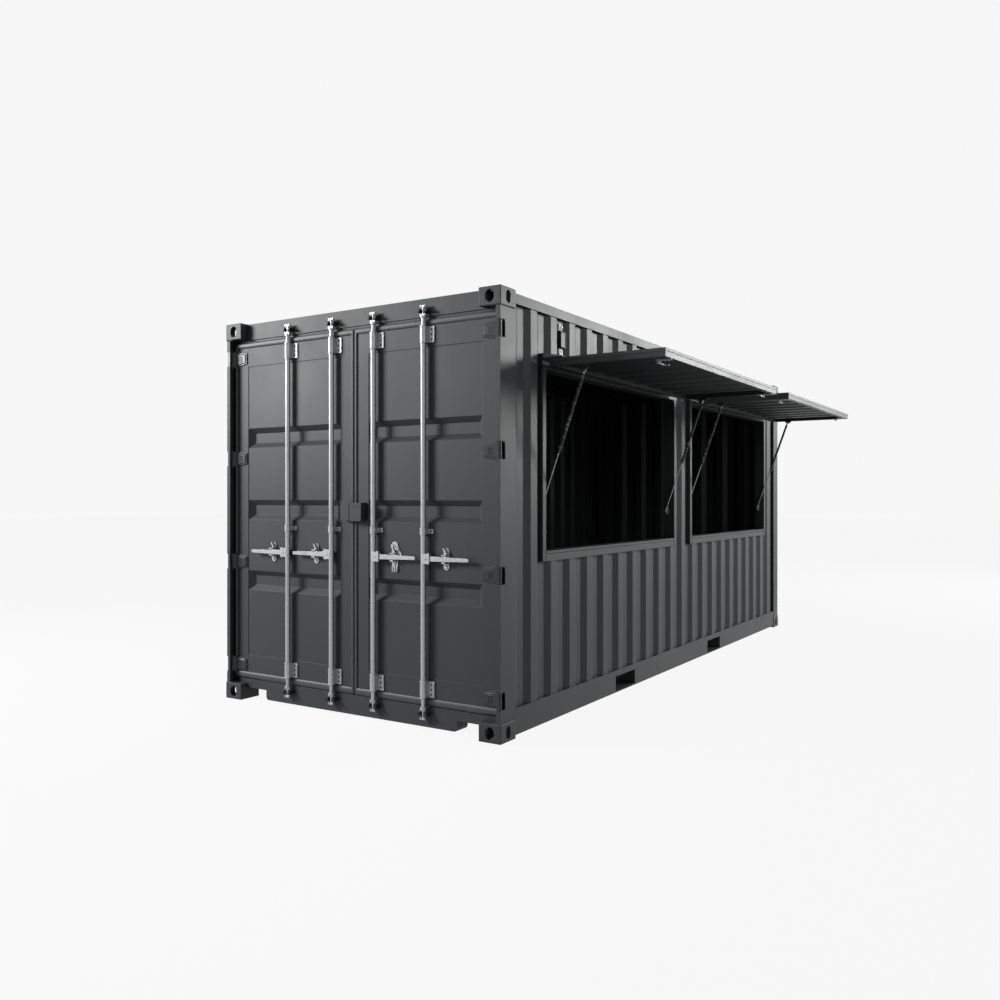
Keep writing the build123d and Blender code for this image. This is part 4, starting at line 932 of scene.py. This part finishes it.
def ball_caps(mesh, end, at_head):
    """The bright sockets over the balls at one end of both struts."""
    down = (STRUT_FOOT - STRUT_HEAD).normalized()
    ball, inward = (STRUT_HEAD, down) if at_head else (STRUT_FOOT, -down)
    socket = ((9.5, -8), (10.5, -6), (10.5, 6), (8, 8.5), (0, 9.5))
    for x, way in zip(strut_places(end), (1, -1)):
        middle = Vector((x, ball.y, ball.z))
        turn(mesh, middle, (way, 0, 0), socket, sides=18)
        collar(mesh, middle + inward * 17, down, inner=4, outer=8, half=6, edge=1.5)


def foot_plates(mesh):
    """The fixing plate and screws of each strut's lower stud, on the jamb."""
    corners = ((-14, -30), (14, -30), (14, 30), (-14, 30))
    stud, thick = 28, 5
    y, z = STRUT_FOOT.y, STRUT_FOOT.z
    for end in ENDS:
        for x, way in zip(strut_places(end), (1, -1)):
            face = x - way * stud
            outline = across_x((face - way * BURIED, y, z), corners)
            prism(mesh, outline, lift=(way * thick, 0, 0), edge=1.5)
            for rise in (-20, 20):
                seat = (face + way * (thick - BURIED), y, z + rise)
                rivet(mesh, seat, (way, 0, 0), radius=5, proud=3)


# ---------------------------------------------------------------- the pieces on their bodies
def add_door_details():
    """The loose detail of both leaves and their four bars."""
    zinc, paint = "galvanised", "container_paint"
    for name, side in SIDES.items():
        leaf = f"leaf_{name}"
        piece(f"sleeve_rims_{name}", leaf, zinc, zinc, sleeve_rims, side)
        piece(f"guide_rims_{name}", leaf, zinc, zinc, guide_rims, side)
        piece(f"guide_rivets_{name}", leaf, "dark_casting", zinc, guide_rivets, side)
        piece(f"retainer_bolts_{name}", leaf, zinc, zinc, retainer_bolts, side)
        piece(f"retainer_catches_{name}", leaf, zinc, zinc, retainer_catches, side)
        piece(f"hinge_pads_{name}", leaf, "hinge_paint", paint, hinge_pads, side)
        # painted shade: a black bead outlines each hinge blade
        piece(f"hinge_shade_outline_{name}", leaf, "flap_seal_and_shade", paint, hinge_shade_outline, side)
        piece(f"panel_welds_{name}", leaf, paint, paint, panel_welds, side)
        for bar, offset in zip(BAR_NAMES, BAR_OFFSETS):
            body = f"bar_{name}_{bar}"
            piece(f"bar_bolts_{name}_{bar}", body, zinc, zinc, bar_bolts, side, offset)
    piece("large_retainer_teeth", "leaf_right", zinc, zinc, large_retainer_teeth)
    piece("box_lip", "leaf_right", paint, paint, box_lip)
    piece("box_rivets", "leaf_left", paint, paint, box_rivets)
    piece("keeper_faces", "container", "dark_casting", zinc, keeper_faces)
    piece("pin_heads", "container", "dark_casting", zinc, pin_heads)


def add_body_details():
    """The loose detail of the container itself."""
    zinc, paint = "galvanised", "container_paint"
    top_base = HEIGHT - CASTING_SIZE[2]
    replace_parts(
        piece("cast_corners_bottom", "container", paint, paint, cast_corners, 0, False),
        "corner_castings_bottom",
    )
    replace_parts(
        piece("cast_corners_top", "container", paint, paint, cast_corners, top_base, True),
        "corner_castings_top",
    )
    piece("casting_welds", "container", paint, paint, casting_welds)
    piece("rail_gussets", "container", paint, paint, rail_gussets)
    piece("frame_welds", "container", paint, paint, frame_welds)
    piece("hood_ends", "container", zinc, zinc, hood_ends)
    piece("floor_joints", "container", "flap_seal_and_shade", "rubber", floor_joints)
    piece("vent_rims", "container", paint, paint, vent_rims)
    piece("vent_bolts", "container", zinc, zinc, vent_bolts)
    piece("foot_plates", "container", zinc, zinc, foot_plates)


def add_flap_details():
    """The loose detail of both flaps and their struts."""
    zinc, strut = "galvanised", "strut_black"
    for end in ENDS:
        flap, cylinders, rods = f"flap_{end}", f"cylinders_{end}", f"rods_{end}"
        piece(f"flap_seal_and_shade_{end}", flap, "flap_seal_and_shade", "rubber", flap_seal_and_shade, end)
        piece(f"latch_details_{end}", flap, zinc, zinc, latch_details, end)
        piece(f"cylinder_caps_{end}", cylinders, strut, strut, cylinder_caps, end)
        piece(f"head_sockets_{end}", cylinders, zinc, zinc, ball_caps, end, True)
        piece(f"foot_sockets_{end}", rods, zinc, zinc, ball_caps, end, False)


# ---------------------------------------------------------------- stage, light and camera
BACKGROUND = (0.93, 0.93, 0.93, 1.0)
FILL_COLOUR = (0.95, 0.98, 1.0, 1.0)
FILL_LOW, FILL_LEVEL = 0.05, 0.17
FILL_FROM, FILL_TO = 0.0, 0.75
FLOOR_SIZE = 120.0
FLOOR_TONE = (0.05, 0.05, 0.05, 1.0)
FLOOR_GLOW = 0.908
WHITE = (1.0, 1.0, 1.0, 1.0)
# name, place, target, width and height in metres, power in watts
LAMPS = (
    ("key", (-7.3, 6.1, 4.4), (-3.0, 0.0, 1.6), (2.4, 2.4), 780.0),
    ("side", (11.0, -8.2, 4.8), (0.5, -1.2, 2.1), (3.0, 3.0), 1000.0),
    ("side_front", (-3.5, -9.0, 4.5), (-1.5, -1.2, 1.8), (4.0, 3.0), 60.0),
)
CAMERA_PLACE = (-7.647, -4.151, 1.500)
CAMERA_TURN = (90, 0, -57.551)
CAMERA_LENS = 32.557
CAMERA_SENSOR = 36.0
CAMERA_SHIFT = -0.00263


def shown_to_view(tree):
    """1 for rays that show the background itself: camera, glossy and transmission rays."""
    path = tree.nodes.new("ShaderNodeLightPath")
    total = path.outputs["Is Camera Ray"]
    for name in ("Is Glossy Ray", "Is Transmission Ray"):
        largest = tree.nodes.new("ShaderNodeMath")
        largest.operation = "MAXIMUM"
        tree.links.new(total, largest.inputs[0])
        tree.links.new(path.outputs[name], largest.inputs[1])
        total = largest.outputs["Value"]
    return total


def build_world():
    """A pale backdrop for the view, and a dim light from above for the object."""
    world = bpy.data.worlds.new("studio")
    bpy.context.scene.world = world
    world.use_nodes = True
    tree = world.node_tree
    backdrop = tree.nodes["Background"]
    backdrop.inputs["Color"].default_value = BACKGROUND
    fill = tree.nodes.new("ShaderNodeBackground")
    fill.inputs["Color"].default_value = FILL_COLOUR
    direction = tree.nodes.new("ShaderNodeTexCoord")
    split = tree.nodes.new("ShaderNodeSeparateXYZ")
    height = tree.nodes.new("ShaderNodeMapRange")
    height.inputs["From Min"].default_value = FILL_FROM
    height.inputs["From Max"].default_value = FILL_TO
    height.inputs["To Min"].default_value = FILL_LOW
    height.inputs["To Max"].default_value = FILL_LEVEL
    tree.links.new(direction.outputs["Generated"], split.inputs["Vector"])
    tree.links.new(split.outputs["Z"], height.inputs["Value"])
    tree.links.new(height.outputs["Result"], fill.inputs["Strength"])
    mix = tree.nodes.new("ShaderNodeMixShader")
    tree.links.new(shown_to_view(tree), mix.inputs["Fac"])
    tree.links.new(fill.outputs["Background"], mix.inputs[1])
    tree.links.new(backdrop.outputs["Background"], mix.inputs[2])
    tree.links.new(mix.outputs["Shader"], tree.nodes["World Output"].inputs["Surface"])


def build_floor():
    """A pale floor that shows as bright as the backdrop and keeps the shadow."""
    bpy.ops.mesh.primitive_plane_add(size=FLOOR_SIZE, location=(0, 0, 0))
    floor = bpy.context.object
    floor.name = "studio_floor"
    material, shader = new_material("studio_floor")
    shader.inputs["Base Color"].default_value = FLOOR_TONE
    shader.inputs["Roughness"].default_value = 1.0
    shader.inputs["Specular IOR Level"].default_value = 0.0
    tree = material.node_tree
    glow = add_node(material, "ShaderNodeEmission", Color=WHITE)
    level = add_node(material, "ShaderNodeMath", operation="MULTIPLY")
    level.inputs[1].default_value = FLOOR_GLOW
    link(material, shown_to_view(tree), level.inputs[0])
    link(material, level.outputs["Value"], glow.inputs["Strength"])
    both = add_node(material, "ShaderNodeAddShader")
    link(material, shader.outputs["BSDF"], both.inputs[0])
    link(material, glow.outputs["Emission"], both.inputs[1])
    link(material, both.outputs["Shader"], tree.nodes["Material Output"].inputs["Surface"])
    floor.data.materials.append(material)
    floor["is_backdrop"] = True


def build_lights():
    """The softboxes, each facing its target."""
    for name, location, target, size, power in LAMPS:
        lamp = bpy.data.lights.new(name, "AREA")
        lamp.shape = "RECTANGLE"
        lamp.size, lamp.size_y = size
        lamp.energy = power
        thing = bpy.data.objects.new(name, lamp)
        bpy.context.scene.collection.objects.link(thing)
        thing.location = location
        away = Vector(location) - Vector(target)
        thing.rotation_euler = away.to_track_quat("Z", "Y").to_euler()


def build_camera():
    """The level camera that sees the doors and the hatch side."""
    camera = bpy.data.cameras.new("camera")
    camera.sensor_width = CAMERA_SENSOR
    camera.lens = CAMERA_LENS
    camera.shift_y = CAMERA_SHIFT
    thing = bpy.data.objects.new("camera", camera)
    bpy.context.scene.collection.objects.link(thing)
    thing.location = CAMERA_PLACE
    thing.rotation_euler = [math.radians(angle) for angle in CAMERA_TURN]
    bpy.context.scene.camera = thing


dress_cad_nodes()
add_door_details()
add_body_details()
add_flap_details()
build_world()
build_floor()
build_lights()
build_camera()
bpy.context.scene.view_settings.view_transform = "Standard"
